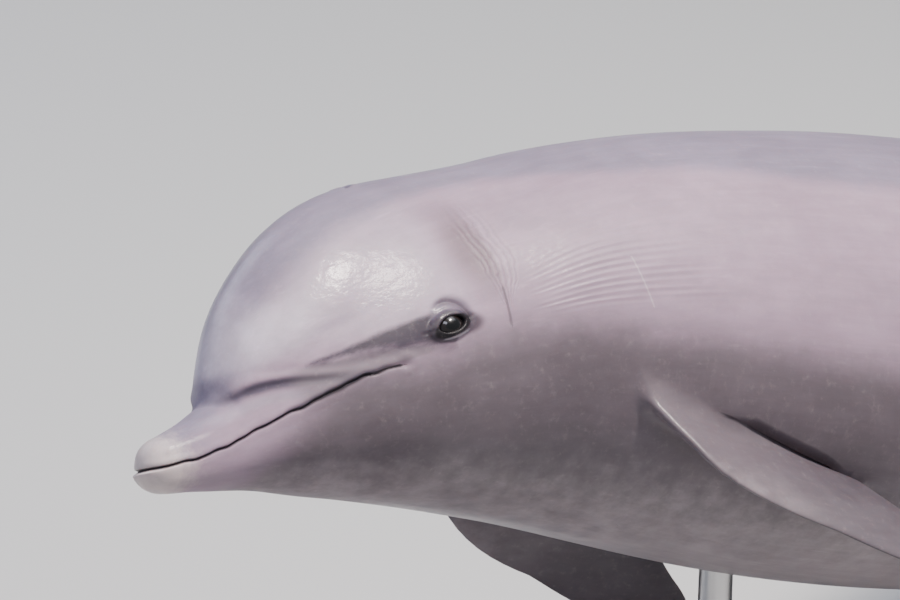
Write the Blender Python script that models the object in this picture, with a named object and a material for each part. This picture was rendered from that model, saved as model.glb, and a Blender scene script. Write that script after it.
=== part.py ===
"""A bottlenose dolphin, life size and at rest in a surfacing pose, on a plain display stand.

The body is first described straight, in metres: x runs back from the beak's tip, +Z is the back, -Y the left side.
A smooth bend of the neck and tail then gives the pose, and one turn sets it on the stand in the world.
"""

import math

import bmesh
import bpy
import numpy as np
from mathutils import Matrix, Vector

# ---- driving dimensions, metres and degrees ----
LENGTH = 2.46  # beak's tip to the notch of the flukes
AROUND = 36  # points round each section of the body
SPLIT = 0.0002  # half of the thin cut between two neighbours
GAPE_X = 0.268  # corner of the mouth
JAW_HINGE_X = 0.345  # where the jaw's rear cut meets the throat
CREASE_X = 0.107  # where the beak meets the melon
MELON_END_LOW, MELON_END_HIGH = 0.292, 0.372
HEAD_END, NECK_END, CHEST_END, ABDOMEN_END = 0.42, 0.50, 1.00, 1.50

NECK_PITCH, NECK_YAW = -18.0, -8.7  # the trunk drops and turns away behind the head
NECK_FROM, NECK_TO = 0.30, 0.80
TAIL_PITCH, TAIL_FROM, TAIL_TO = 16.0, 1.15, 2.30  # the tail stock lifts again
AXIS_Z = 0.03  # level of the spine's line in the sections

ROLL, BEAK_UP = 30.3, 8.95  # left side up, beak above the level

EYE_X, EYE_Z, EYE_RADIUS, EYE_PROUD = 0.335, 0.056, 0.0170, 0.0045
EYE_GAP = 0.0003

FLIPPER_X, FLIPPER_ANGLE = 0.598, -26.5  # root's middle: station, and angle below the side
FLIPPER_LENGTH, FLIPPER_CHORD, FLIPPER_THICK = 0.415, 0.150, 0.025
FLIPPER_WAY = (0.767, -0.274, -0.578)  # of the left one, in the body's own axes
FLIPPER_TWIST = -20.0
DORSAL_X0, DORSAL_X1, DORSAL_HEIGHT, DORSAL_THICK = 1.06, 1.42, 0.235, 0.036
FLUKE_SPAN, FLUKE_THICK = 0.305, 0.028
FIN_GAP = 0.0004

BASE_LENGTH, BASE_WIDTH, BASE_HEIGHT, BASE_CORNER, BASE_EDGE = 1.30, 0.56, 0.030, 0.05, 0.004
ROD_RADIUS = 0.019
COLLAR_RADIUS, COLLAR_HEIGHT = 0.042, 0.022
ROD_STATIONS = (0.80, 1.52)  # where the rods hold the body
CLEARANCE = 0.16  # lowest tip of a fin above the base's underside


def spline(*knots):
    """Natural cubic through (x, value) knots."""
    x, y = (np.array(c, float) for c in zip(*knots))
    n = len(x)
    h = np.diff(x)
    a = np.eye(n)
    b = np.zeros(n)
    for i in range(1, n - 1):
        a[i, i - 1 : i + 2] = h[i - 1], 2 * (h[i - 1] + h[i]), h[i]
        b[i] = 6 * ((y[i + 1] - y[i]) / h[i] - (y[i] - y[i - 1]) / h[i - 1])
    m = np.linalg.solve(a, b)

    def at(q):
        q = np.clip(q, x[0], x[-1])
        i = np.clip(np.searchsorted(x, q) - 1, 0, n - 2)
        s, t, hi = x[i + 1] - q, q - x[i], h[i]
        return (
            (m[i] * s**3 + m[i + 1] * t**3) / (6 * hi)
            + (y[i] / hi - m[i] * hi / 6) * s
            + (y[i + 1] / hi - m[i + 1] * hi / 6) * t
        )

    return at


# ---- the straight body's outlines ----
LEVEL = spline((0, 0), (0.06, -0.001), (0.12, 0), (0.2, 0.008), (0.3, 0.02), (0.4, 0.022), (0.6, 0.015),
               (1.0, 0.018), (1.4, 0.035), (1.8, 0.058), (2.1, 0.07), (2.3, 0.074), (2.5, 0.074))
WIDTH = spline((0, 0.024), (0.03, 0.028), (0.06, 0.0335), (0.09, 0.04), (0.12, 0.05), (0.16, 0.068),
               (0.2, 0.085), (0.25, 0.106), (0.3, 0.1225), (0.34, 0.132), (0.4, 0.1455), (0.5, 0.173),
               (0.6, 0.196), (0.75, 0.217), (0.95, 0.224), (1.2, 0.212), (1.4, 0.19), (1.6, 0.157),
               (1.8, 0.116), (2.0, 0.075), (2.2, 0.043), (2.35, 0.029), (2.46, 0.018))
TOP = spline((0, 0.024), (0.03, 0.0275), (0.06, 0.032), (0.09, 0.038), (0.12, 0.047), (0.16, 0.058),
             (0.2, 0.078), (0.25, 0.117), (0.3, 0.16), (0.35, 0.19), (0.4, 0.204), (0.5, 0.221),
             (0.6, 0.236), (0.8, 0.264), (1.0, 0.279), (1.2, 0.278), (1.4, 0.266), (1.6, 0.243),
             (1.8, 0.213), (2.0, 0.177), (2.2, 0.138), (2.35, 0.107), (2.46, 0.086))
BELLY = spline((0, -0.022), (0.03, -0.028), (0.06, -0.0325), (0.09, -0.0375), (0.12, -0.043), (0.16, -0.053),
               (0.2, -0.067), (0.25, -0.083), (0.3, -0.1), (0.35, -0.117), (0.4, -0.133), (0.5, -0.16),
               (0.6, -0.182), (0.8, -0.209), (1.0, -0.217), (1.2, -0.207), (1.4, -0.18), (1.6, -0.139),
               (1.8, -0.091), (2.0, -0.042), (2.2, 0.006), (2.35, 0.042), (2.46, 0.062))
ROUND_TOP = spline((0, 2.3), (0.12, 2.3), (0.25, 1.9), (0.34, 1.8), (0.5, 1.9), (1.0, 2.0), (1.6, 1.9),
                   (2.0, 1.65), (2.3, 1.55), (2.5, 1.8))
ROUND_LOW = spline((0, 2.3), (0.12, 2.2), (0.25, 2.1), (0.34, 2.1), (0.5, 2.15), (1.0, 2.15), (1.6, 1.95),
                   (2.0, 1.65), (2.3, 1.55), (2.5, 1.8))
MELON_TOP = spline((0.05, -0.01), (0.11, 0.045), (0.115, 0.057), (0.13, 0.086), (0.15, 0.12), (0.175, 0.148),
                   (0.2, 0.168), (0.25, 0.197), (0.3, 0.213), (0.35, 0.218), (0.4, 0.213), (0.5, 0.19),
                   (0.6, 0.15), (2.5, 0.1))
MELON_WIDTH = spline((0.05, 0.02), (0.11, 0.03), (0.12, 0.041), (0.13, 0.048), (0.15, 0.06), (0.175, 0.073),
                     (0.2, 0.0835), (0.25, 0.099), (0.3, 0.109), (0.35, 0.115), (0.4, 0.118), (0.5, 0.12),
                     (0.6, 0.11), (2.5, 0.05))
MOUTH = spline((0, 0.002), (0.05, -0.002), (0.08, 0.0005), (0.103, 0.0045), (0.127, 0.0105), (0.15, 0.0165),
               (0.18, 0.0225), (0.21, 0.028), (0.24, 0.0325), (0.268, 0.0335), (0.3, 0.033))
CREASE = spline((0.1, 0.045), (0.125, 0.056), (0.16, 0.0545), (0.19, 0.0485), (0.22, 0.044), (0.26, 0.042),
                (0.3, 0.041))


# the front of the head, drawn in along x: a shorter beak, and a melon that stands further over it
DRAW_IN = spline((0, 0.011), (0.03, 0.007), (0.06, 0.002), (0.09, -0.004), (0.113, -0.0065), (0.16, -0.0055),
                 (0.25, -0.002), (0.32, 0), (0.4, 0), (2.5, 0))
TIP_X = 0.011


def smooth_max(a, b, k):
    h = np.maximum(k - np.abs(a - b), 0) / k
    return np.maximum(a, b) + h * h * k / 4


def rise(a, b, x):
    t = np.clip((x - a) / (b - a), 0, 1)
    return t * t * (3 - 2 * t)


def blunt(x):
    """1 along the body, falling to 0 in a round end at the beak's tip and at the notch of the flukes."""
    front = (1 - np.clip(1 - x / 0.030, 0, 1) ** 2.3) ** (1 / 2.3)
    rear = (1 - np.clip(1 - (LENGTH - x) / 0.045, 0, 1) ** 2.0) ** 0.5
    return front * rear


def radius(x, th):
    """Of the section at x, along th: 0 is the left side, a quarter turn the back."""
    c, s = np.abs(np.cos(th)), np.sin(th)
    q = blunt(x)
    z = LEVEL(x)
    w, top, low = WIDTH(x) * q, (TOP(x) - z) * q, (z - BELLY(x)) * q
    up = ((c / w) ** ROUND_TOP(x) + (np.abs(s) / top) ** ROUND_TOP(x)) ** (-1 / ROUND_TOP(x))
    down = ((c / w) ** ROUND_LOW(x) + (np.abs(s) / low) ** ROUND_LOW(x)) ** (-1 / ROUND_LOW(x))
    r = np.where(s >= 0, up, down)
    melon = 1 / np.sqrt((c / MELON_WIDTH(x)) ** 2 + (s / (MELON_TOP(x) - z)) ** 2)
    has = (s > 0) & (x > 0.05) & (x < 2.0)
    k = 0.006 + 0.03 * np.clip((x - 0.11) / 0.25, 0, 1)
    return np.where(has, smooth_max(r, np.where(has, melon, 0), k), r)


def straight(x, th, proud=0.0):
    r = radius(x, th) + proud
    return np.stack([x + DRAW_IN(x) + 0 * th, -r * np.cos(th), LEVEL(x) + r * np.sin(th)], -1)


# ---- the pose: a spine with smooth bends, level with the head's own axes in front ----
SPINE_X = np.linspace(-0.1, 2.7, 2801)
SPINE_PITCH = np.radians(NECK_PITCH) * rise(NECK_FROM, NECK_TO, SPINE_X)
SPINE_PITCH = SPINE_PITCH + np.radians(TAIL_PITCH) * rise(TAIL_FROM, TAIL_TO, SPINE_X)
SPINE_YAW = np.radians(NECK_YAW) * rise(NECK_FROM, NECK_TO, SPINE_X)
_way = np.stack(
    [
        np.cos(SPINE_PITCH) * np.cos(SPINE_YAW),
        np.cos(SPINE_PITCH) * np.sin(SPINE_YAW),
        np.sin(SPINE_PITCH),
    ],
    -1,
)
SPINE = np.concatenate([[[0, 0, 0]], np.cumsum((_way[1:] + _way[:-1]) / 2 * np.diff(SPINE_X)[:, None], 0)])
SPINE = SPINE + [SPINE_X[0], 0, 0]


def posed(p, station=None):
    """Straight body to posed body, in the head's axes. With a station given, as one rigid piece held there."""
    p = np.asarray(p, float)
    x = p[..., 0]
    at = x if station is None else x * 0 + station
    line = [np.interp(at, SPINE_X, SPINE[:, k]) for k in range(3)]
    a, b = np.interp(at, SPINE_X, SPINE_PITCH), np.interp(at, SPINE_X, SPINE_YAW)
    along = np.stack([np.cos(a) * np.cos(b), np.cos(a) * np.sin(b), np.sin(a)], -1)
    side = np.stack([-np.sin(b), np.cos(b), 0 * b], -1)
    up = np.cross(along, side)
    origin = np.stack(line, -1) + [0, 0, AXIS_Z]
    return (
        origin
        + along * (x - at)[..., None]
        + side * p[..., 1][..., None]
        + up * (p[..., 2] - AXIS_Z)[..., None]
    )


# ---- meshes ----
def add_mesh(name, points, faces):
    mesh = bpy.data.meshes.new(name)
    mesh.from_pydata([tuple(map(float, p)) for p in points], [], [tuple(map(int, f)) for f in faces])
    mesh.validate()
    obj = bpy.data.objects.new(name, mesh)
    bpy.context.scene.collection.objects.link(obj)
    work = bmesh.new()
    work.from_mesh(mesh)
    bmesh.ops.recalc_face_normals(work, faces=work.faces)
    work.to_mesh(mesh)
    work.free()
    return obj


def tube(name, rings, start=None, end=None):
    """Rings of equal count joined into a closed skin. Each end is a point, or the middle of its ring."""
    n, m = len(rings), len(rings[0])
    points = [p for ring in rings for p in ring]
    faces = [
        (i * m + j, i * m + (j + 1) % m, (i + 1) * m + (j + 1) % m, (i + 1) * m + j)
        for i in range(n - 1)
        for j in range(m)
    ]
    first, last = len(points), len(points) + 1
    points.append(np.mean(rings[0], 0) if start is None else start)
    points.append(np.mean(rings[-1], 0) if end is None else end)
    faces += [(first, (j + 1) % m, j) for j in range(m)]
    faces += [(last, (n - 1) * m + j, (n - 1) * m + (j + 1) % m) for j in range(m)]
    return add_mesh(name, points, faces)


ANGLES = np.linspace(0, 2 * math.pi, AROUND, endpoint=False)


def trunk(name, stations, proud=0.0, closed_tip=False, closed_tail=False):
    rings = [posed(straight(np.full(AROUND, x), ANGLES, proud)) for x in stations]
    start = posed((TIP_X - proud, 0, 0)) if closed_tip else None
    end = posed((LENGTH + proud, 0, LEVEL(LENGTH))) if closed_tail else None
    return tube(name, rings, start, end)


def prism(name, outline, width=0.5):
    """A side-view outline, (x, z) in order, run across the body: a cutter."""
    n = len(outline)
    points = [(x, y, z) for y in (-width, width) for x, z in outline]
    faces = [tuple(range(n)), tuple(range(n, 2 * n))]
    faces += [(i, (i + 1) % n, n + (i + 1) % n, n + i) for i in range(n)]
    return add_mesh(name, points, faces)


def boolean(obj, cutter, operation):
    modifier = obj.modifiers.new(operation, "BOOLEAN")
    modifier.operation = operation
    modifier.object = cutter
    modifier.solver = "EXACT"
    bpy.context.view_layer.objects.active = obj
    bpy.ops.object.modifier_apply(modifier=modifier.name)


def copied(obj, name):
    twin = bpy.data.objects.new(name, obj.data.copy())
    bpy.context.scene.collection.objects.link(twin)
    return twin


def removed(*objects):
    for obj in objects:
        bpy.data.objects.remove(obj, do_unlink=True)


def material(name, color, rough, metallic=0.0):
    made = bpy.data.materials.new(name)
    made.use_nodes = True
    shader = made.node_tree.nodes["Principled BSDF"]
    shader.inputs["Base Color"].default_value = (*color, 1)
    shader.inputs["Roughness"].default_value = rough
    shader.inputs["Metallic"].default_value = metallic
    return made


def finished(obj, surface, angle=40):
    obj.data.materials.clear()
    obj.data.materials.append(surface)
    for face in obj.data.polygons:
        face.use_smooth = True
        face.material_index = 0
    bpy.ops.object.select_all(action="DESELECT")
    obj.select_set(True)
    bpy.context.view_layer.objects.active = obj
    bpy.ops.object.shade_smooth_by_angle(angle=math.radians(angle))


def fin(name, stations, count=8):
    """A blade. Each station: leading edge, trailing edge, direction of its thickness, thickness."""
    t = (1 - np.cos(np.linspace(0, math.pi, count))) / 2
    section = 1.45 * np.sqrt(t) * (1 - t) ** 0.75 + 0.028
    rings = []
    for lead, trail, across, thick in stations:
        lead, trail, across = (np.asarray(v, float) for v in (lead, trail, across))
        across = across / np.linalg.norm(across)
        middle = lead + (trail - lead) * t[:, None]
        half = across * (section * max(thick, 0.0016) / 2)[:, None]
        rings.append(np.concatenate([middle + half, (middle - half)[::-1]]))
    return tube(name, rings)


# ---- the scene starts empty ----
for old in list(bpy.data.objects):
    bpy.data.objects.remove(old, do_unlink=True)

SKIN = material("dolphin_skin", (0.40, 0.34, 0.38), 0.35)
EYE = material("dolphin_eye", (0.02, 0.015, 0.013), 0.08)
PAINT = material("stand_paint", (0.045, 0.045, 0.048), 0.45)
STEEL = material("stand_steel", (0.55, 0.56, 0.57), 0.32, 1.0)

# ---- head: one whole, parted by thin cuts ----
TIP_STATIONS = [0.0015, 0.006, 0.014, 0.026, 0.045, 0.07, 0.095, 0.108, 0.114, 0.121, 0.131, 0.145, 0.163]
HEAD_STATIONS = TIP_STATIONS + [0.185, 0.21, 0.238, 0.268, 0.298, 0.322, 0.348, 0.375, 0.397, HEAD_END - SPLIT]
head = trunk("whole_head", HEAD_STATIONS, closed_tip=True)

jaw_line = [(x, float(MOUTH(x))) for x in np.linspace(0, GAPE_X, 12)]
crease_line = [(x, float(CREASE(x))) for x in np.linspace(CREASE_X, MELON_END_LOW, 10)]


def shifted(line, dz):
    return [(x, z + dz) for x, z in line]


jaw = prism(
    "cut_jaw",
    [(-0.05, MOUTH(0) - SPLIT)] + shifted(jaw_line, -SPLIT)
    + [(GAPE_X + 0.004, MOUTH(GAPE_X) - 0.006), (JAW_HINGE_X, -0.3), (-0.05, -0.3)],
)
beak = prism(
    "cut_beak",
    [(-0.05, MOUTH(0) + SPLIT)] + shifted(jaw_line, SPLIT)
    + [(MELON_END_LOW, MOUTH(GAPE_X) + 0.001)] + shifted(crease_line, -SPLIT)[::-1]
    + [(CREASE_X - SPLIT, CREASE(CREASE_X)), (CREASE_X - SPLIT, 0.3), (-0.05, 0.3)],
)
brow = prism(
    "cut_brow",
    [(CREASE_X + SPLIT, 0.4)] + shifted(crease_line, SPLIT)
    + [(MELON_END_LOW, CREASE(MELON_END_LOW) + SPLIT), (MELON_END_HIGH, 0.4)],
)
behind = prism(
    "cut_behind",
    [
        (GAPE_X + 2 * SPLIT, MOUTH(GAPE_X)),
        (MELON_END_LOW + 2 * SPLIT, MOUTH(GAPE_X) + 0.001),
        (MELON_END_LOW + 2 * SPLIT, CREASE(MELON_END_LOW)),
        (MELON_END_HIGH + 2 * SPLIT, 0.4),
        (0.6, 0.4),
        (0.6, -0.3),
        (JAW_HINGE_X + 2 * SPLIT, -0.3),
        (GAPE_X + 0.004 + 2 * SPLIT, MOUTH(GAPE_X) - 0.006),
    ],
)
pieces = {}
for name, region in (("lower_jaw", jaw), ("rostrum", beak), ("melon", brow), ("head", behind)):
    piece = copied(head, name)
    boolean(piece, region, "INTERSECT")
    pieces[name] = piece
removed(head, jaw, beak, brow, behind)

# ---- eyes, each in its own socket ----
surface_y = float(-straight(np.float64(EYE_X), np.float64(math.radians(15.5)))[1])
for name, side in (("eye_left", -1), ("eye_right", 1)):
    centre = posed((EYE_X, side * (surface_y - EYE_RADIUS + EYE_PROUD), EYE_Z))
    for ball, grow in ((name, 0.0), ("socket", EYE_GAP)):
        bpy.ops.mesh.primitive_uv_sphere_add(
            segments=16, ring_count=10, radius=EYE_RADIUS + grow, location=centre, rotation=(math.pi / 2, 0, 0)
        )
        made = bpy.context.object
        made.name = ball
        bpy.ops.object.transform_apply(location=True, rotation=True, scale=True)
        if ball == "socket":
            boolean(pieces["head"], made, "DIFFERENCE")
            removed(made)
        else:
            pieces[name] = made

# ---- neck and trunk, parted at whole sections ----
pieces["neck"] = trunk("neck", [HEAD_END + SPLIT, 0.445, 0.47, NECK_END - SPLIT])
CHEST_STATIONS = [NECK_END + SPLIT, 0.54, 0.59, 0.65, 0.72, 0.80, 0.88, 0.94, CHEST_END - SPLIT]
pieces["chest"] = trunk("chest", CHEST_STATIONS)
ABDOMEN_STATIONS = [CHEST_END + SPLIT, 1.08, 1.16, 1.24, 1.32, 1.41, ABDOMEN_END - SPLIT]
pieces["abdomen"] = trunk("abdomen", ABDOMEN_STATIONS)
TAIL_STATIONS = [ABDOMEN_END + SPLIT, 1.6, 1.7, 1.8, 1.9, 2.0, 2.09, 2.17, 2.24, 2.30, 2.35, 2.39]
TAIL_STATIONS += [2.42, 2.44, 2.453, LENGTH - 0.001]
pieces["tail_stock"] = trunk("tail_stock", TAIL_STATIONS, closed_tail=True)
grown = trunk("grown_body", HEAD_STATIONS + [0.445, 0.47] + CHEST_STATIONS + ABDOMEN_STATIONS + TAIL_STATIONS, FIN_GAP, True, True)


# ---- flippers: a swept paddle, widest at a third, narrowing to a blunt point ----
def flipper_stations(side):
    way = np.array(FLIPPER_WAY, float) * (1, -side, 1)
    way /= np.linalg.norm(way)
    back = np.array([1.0, 0, 0]) - way[0] * way
    back /= np.linalg.norm(back)
    face = np.cross(way, back)
    twist = math.radians(FLIPPER_TWIST) * -side
    back, face = (
        back * math.cos(twist) + face * math.sin(twist),
        face * math.cos(twist) - back * math.sin(twist),
    )
    angle = math.radians(FLIPPER_ANGLE)
    root = straight(np.float64(FLIPPER_X), np.float64(angle)) * (1, -side, 1)
    made = []
    for s in np.array([-0.16, -0.06, 0.02, 0.10, 0.20, 0.32, 0.45, 0.58, 0.70, 0.81, 0.90, 0.96, 0.99, 1.0]):
        u = max(s, 0)
        lead = -0.062 - 0.012 * math.sin(math.pi * min(u / 0.45, 1)) + 0.088 * u**2.1
        chord = FLIPPER_CHORD * (0.80 + 0.20 * rise(0, 0.28, u) - 0.62 * rise(0.30, 1.02, u))
        chord *= math.sqrt(max(1 - max((u - 0.80) / 0.205, 0) ** 2, 0.0))
        thick = FLIPPER_THICK * (1 - 0.72 * u) * (chord / FLIPPER_CHORD) ** 0.3
        spot = root + way * FLIPPER_LENGTH * s + face * 0.016 * u * u
        made.append((spot + back * lead, spot + back * (lead + max(chord, 0.012)), face, thick))
    return [
        (posed(a, FLIPPER_X), posed(b, FLIPPER_X), posed(root + c, FLIPPER_X) - posed(root, FLIPPER_X), d)
        for a, b, c, d in made
    ]


# ---- dorsal fin: falcate, leaning back, hollow behind ----
def dorsal_stations():
    made = []
    length = DORSAL_X1 - DORSAL_X0
    for s in np.array([-0.20, -0.08, 0.03, 0.14, 0.26, 0.38, 0.50, 0.62, 0.73, 0.83, 0.91, 0.965, 0.992]):
        u = max(s, 0)
        lead = DORSAL_X0 + length * (0.52 * s + 0.42 * u**2.5)
        trail = DORSAL_X1 + length * (-0.30 * rise(0, 0.60, u) + 0.32 * u**3.2)
        lead = lead + 0.85 * (trail - lead) * (1 - math.sqrt(1 - max((u - 0.86) / 0.14, 0) ** 2))
        if s < 0:
            lead = DORSAL_X0 + 0.25 * length * s
            trail = DORSAL_X1 + 0.05 * length
        trail = max(trail, lead + 0.014)
        base = float(TOP((DORSAL_X0 + DORSAL_X1) / 2)) - 0.006
        z = base + DORSAL_HEIGHT * s
        thick = DORSAL_THICK * (1 - 0.80 * u) * min(1, (trail - lead) / 0.10) ** 0.4
        middle = (DORSAL_X0 + DORSAL_X1) / 2
        made.append(
            (posed((lead, 0, z), middle), posed((trail, 0, z), middle), posed((0, 1, 0), middle) - posed((0, 0, 0), middle), thick)
        )
    return made


# ---- flukes: each a swept half, hollow behind, meeting at the notch ----
def fluke_stations(side):
    made = []
    for s in np.array([0.0, 0.06, 0.14, 0.24, 0.35, 0.47, 0.59, 0.70, 0.80, 0.88, 0.94, 0.98, 1.0]):
        lead = 2.250 + 0.168 * s**0.85 + 0.064 * s**3.2
        trail = 2.452 + 0.030 * math.sin(math.pi * min(s / 0.5, 1) / 2) - 0.030 * s + 0.056 * s**3.5
        lead = lead + 0.75 * (trail - lead) * (1 - math.sqrt(1 - max((s - 0.88) / 0.12, 0) ** 2))
        trail = max(trail, lead + 0.010)
        thick = FLUKE_THICK * (1 - 0.83 * s) * min(1, (trail - lead) / 0.08) ** 0.5
        y = side * (SPLIT + FLUKE_SPAN * s)
        z = 0.0735 - 0.010 * s * s
        made.append(
            (posed((lead, y, z), 2.40), posed((trail, y, z), 2.40), posed((0, 0, 1), 2.40) - posed((0, 0, 0), 2.40), thick)
        )
    return made


for name, stations in (
    ("flipper_left", flipper_stations(-1)),
    ("flipper_right", flipper_stations(1)),
    ("dorsal_fin", dorsal_stations()),
    ("fluke_left", fluke_stations(-1)),
    ("fluke_right", fluke_stations(1)),
):
    made = fin(name, stations)
    boolean(made, grown, "DIFFERENCE")
    pieces[name] = made

# ---- from the head's axes to the world ----
roll, rise_angle = math.radians(ROLL), math.radians(BEAK_UP)
up = Vector((-math.sin(rise_angle), -math.cos(rise_angle) * math.sin(roll), math.cos(rise_angle) * math.cos(roll)))
chord = Vector(posed((LENGTH, 0, AXIS_Z))) - Vector(posed((0, 0, AXIS_Z)))
forward = (chord - up * chord.dot(up)).normalized()
turn = Matrix((forward, up.cross(forward), up))
for obj in list(pieces.values()) + [grown]:
    obj.data.transform(turn.to_4x4())


def corners(objects):
    points = np.array([v.co for obj in objects for v in obj.data.vertices])
    return points.min(0), points.max(0)


def volume_centre(obj):
    work = bmesh.new()
    work.from_mesh(obj.data)
    bmesh.ops.triangulate(work, faces=work.faces)
    total, first = 0.0, Vector((0, 0, 0))
    for face in work.faces:
        a, b, c = (v.co for v in face.verts)
        part = a.dot(b.cross(c)) / 6
        total += part
        first += (a + b + c) / 4 * part
    work.free()
    return total, first / total


volume, centre = volume_centre(grown)
low, high = corners(pieces.values())
shift = Matrix.Translation((-centre.x, -centre.y, CLEARANCE - low[2]))
for obj in list(pieces.values()) + [grown]:
    obj.data.transform(shift)
print("body volume", round(volume, 4), "m3")


# ---- stand: a flat base, two rods with a collar each, ending in the belly ----
def cylinder(name, radius_, bottom, top, x, y, count=28, chamfer=0.0):
    bpy.ops.mesh.primitive_cylinder_add(vertices=count, radius=radius_, depth=top - bottom, location=(x, y, (top + bottom) / 2))
    made = bpy.context.object
    made.name = name
    bpy.ops.object.transform_apply(location=True, rotation=True, scale=True)
    if chamfer:
        bevel = made.modifiers.new("edge", "BEVEL")
        bevel.width = chamfer
        bevel.segments = 2
        bevel.limit_method = "ANGLE"
        bpy.ops.object.modifier_apply(modifier=bevel.name)
    return made


def plate_ring(inset, z):
    """A rounded rectangle, drawn in by inset."""
    ring = []
    for quarter, (sx, sy) in enumerate(((1, 1), (-1, 1), (-1, -1), (1, -1))):
        for step in range(7):
            a = math.pi / 2 * (quarter + step / 6)
            r = BASE_CORNER - inset
            x = sx * (BASE_LENGTH / 2 - BASE_CORNER) + r * math.cos(a)
            y = sy * (BASE_WIDTH / 2 - BASE_CORNER) + r * math.sin(a)
            ring.append((x, y, z))
    return ring


edge = BASE_EDGE
base = tube(
    "stand_base",
    [
        plate_ring(0, 0),
        plate_ring(0, BASE_HEIGHT - edge),
        plate_ring(0.3 * edge, BASE_HEIGHT - 0.3 * edge),
        plate_ring(edge, BASE_HEIGHT),
    ],
    (0, 0, 0),
    (0, 0, BASE_HEIGHT),
)
pieces["stand_base"] = base


def to_world(p):
    return shift @ (turn.to_4x4() @ Vector(posed(p)))


for name, station in zip(("front", "rear"), ROD_STATIONS):
    spot = to_world((station, 0, float((TOP(station) + BELLY(station)) / 2)))
    rod = cylinder("stand_rod_" + name, ROD_RADIUS, BASE_HEIGHT + 2 * SPLIT, spot.z, spot.x, spot.y)
    boolean(rod, grown, "DIFFERENCE")
    pieces[rod.name] = rod
    collar = cylinder(
        "stand_collar_" + name, COLLAR_RADIUS, BASE_HEIGHT + 2 * SPLIT, BASE_HEIGHT + COLLAR_HEIGHT, spot.x, spot.y,
        chamfer=0.003,
    )
    hole = cylinder("hole", ROD_RADIUS + 2 * SPLIT, 0, 0.2, spot.x, spot.y)
    boolean(collar, hole, "DIFFERENCE")
    removed(hole)
    pieces[collar.name] = collar
removed(grown)

for name, obj in pieces.items():
    if name.startswith("stand_base"):
        finished(obj, PAINT)
    elif name.startswith("stand_"):
        finished(obj, STEEL)
    elif name.startswith("eye_"):
        finished(obj, EYE)
    else:
        finished(obj, SKIN)
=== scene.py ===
"""A bottlenose dolphin, life size, at rest in a surfacing pose on a plain display stand.

The skin is one sheet. It is cut flat on a grid of rings and lines, made finer on the head, at the lips,
eyes, neck folds, blowhole and belly slits, then wrapped round the body's outlines. The fins and the eye
sockets are extruded from it ring by ring. All this is worked on the straight body, in metres: x runs back
from the beak's tip, +Z is the back and -Y the left side. A bend of the neck and tail then gives the pose.
"""

import math

import bmesh
import bpy
import numpy as np
from mathutils import Matrix, Vector


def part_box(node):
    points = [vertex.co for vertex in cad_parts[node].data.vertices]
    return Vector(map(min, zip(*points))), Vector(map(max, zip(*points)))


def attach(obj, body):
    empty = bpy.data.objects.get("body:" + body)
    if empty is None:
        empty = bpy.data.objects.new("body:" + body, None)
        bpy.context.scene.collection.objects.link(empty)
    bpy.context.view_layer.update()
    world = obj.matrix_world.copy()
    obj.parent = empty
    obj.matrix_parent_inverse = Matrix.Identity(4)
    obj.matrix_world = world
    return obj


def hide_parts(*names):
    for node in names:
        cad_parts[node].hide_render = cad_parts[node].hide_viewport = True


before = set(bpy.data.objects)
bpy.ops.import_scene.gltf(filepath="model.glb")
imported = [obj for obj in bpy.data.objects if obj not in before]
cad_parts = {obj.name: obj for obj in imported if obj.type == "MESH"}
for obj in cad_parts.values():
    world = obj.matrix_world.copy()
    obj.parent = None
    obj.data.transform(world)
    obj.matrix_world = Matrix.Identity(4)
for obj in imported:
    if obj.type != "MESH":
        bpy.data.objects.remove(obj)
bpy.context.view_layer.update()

# ---- body, metres and degrees ----
LENGTH = 2.46
NECK_PITCH, NECK_YAW = -18.0, -8.7
NECK_FROM, NECK_TO = 0.30, 0.80
TAIL_PITCH, TAIL_FROM, TAIL_TO = 16.0, 1.15, 2.30
AXIS_Z = 0.03
ROLL, BEAK_UP = 30.3, 8.95
TIP_LENGTH, TIP_POWER = 0.030, 2.3
REAR_LENGTH = 0.045
GAPE_X = 0.268

# ---- pattern of the skin ----
LINES = 96  # lines along the body, before the head's faces are halved
TIP_RINGS, REAR_RINGS = 12, 8
FINE_TO = 0.412  # the faces in front of this are halved
MERGE = 1e-5


def spline(*knots):
    """Natural cubic through (x, value) knots."""
    x, y = (np.array(c, float) for c in zip(*knots))
    n = len(x)
    h = np.diff(x)
    a = np.eye(n)
    b = np.zeros(n)
    for i in range(1, n - 1):
        a[i, i - 1 : i + 2] = h[i - 1], 2 * (h[i - 1] + h[i]), h[i]
        b[i] = 6 * ((y[i + 1] - y[i]) / h[i] - (y[i] - y[i - 1]) / h[i - 1])
    m = np.linalg.solve(a, b)

    def at(q):
        q = np.clip(q, x[0], x[-1])
        i = np.clip(np.searchsorted(x, q) - 1, 0, n - 2)
        s, t, hi = x[i + 1] - q, q - x[i], h[i]
        return (
            (m[i] * s**3 + m[i + 1] * t**3) / (6 * hi)
            + (y[i] / hi - m[i] * hi / 6) * s
            + (y[i + 1] / hi - m[i + 1] * hi / 6) * t
        )

    return at


def splines(*rows):
    """One spline for each column after the first, which holds x."""
    x, *columns = zip(*rows)
    return [spline(*zip(x, column)) for column in columns]


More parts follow.
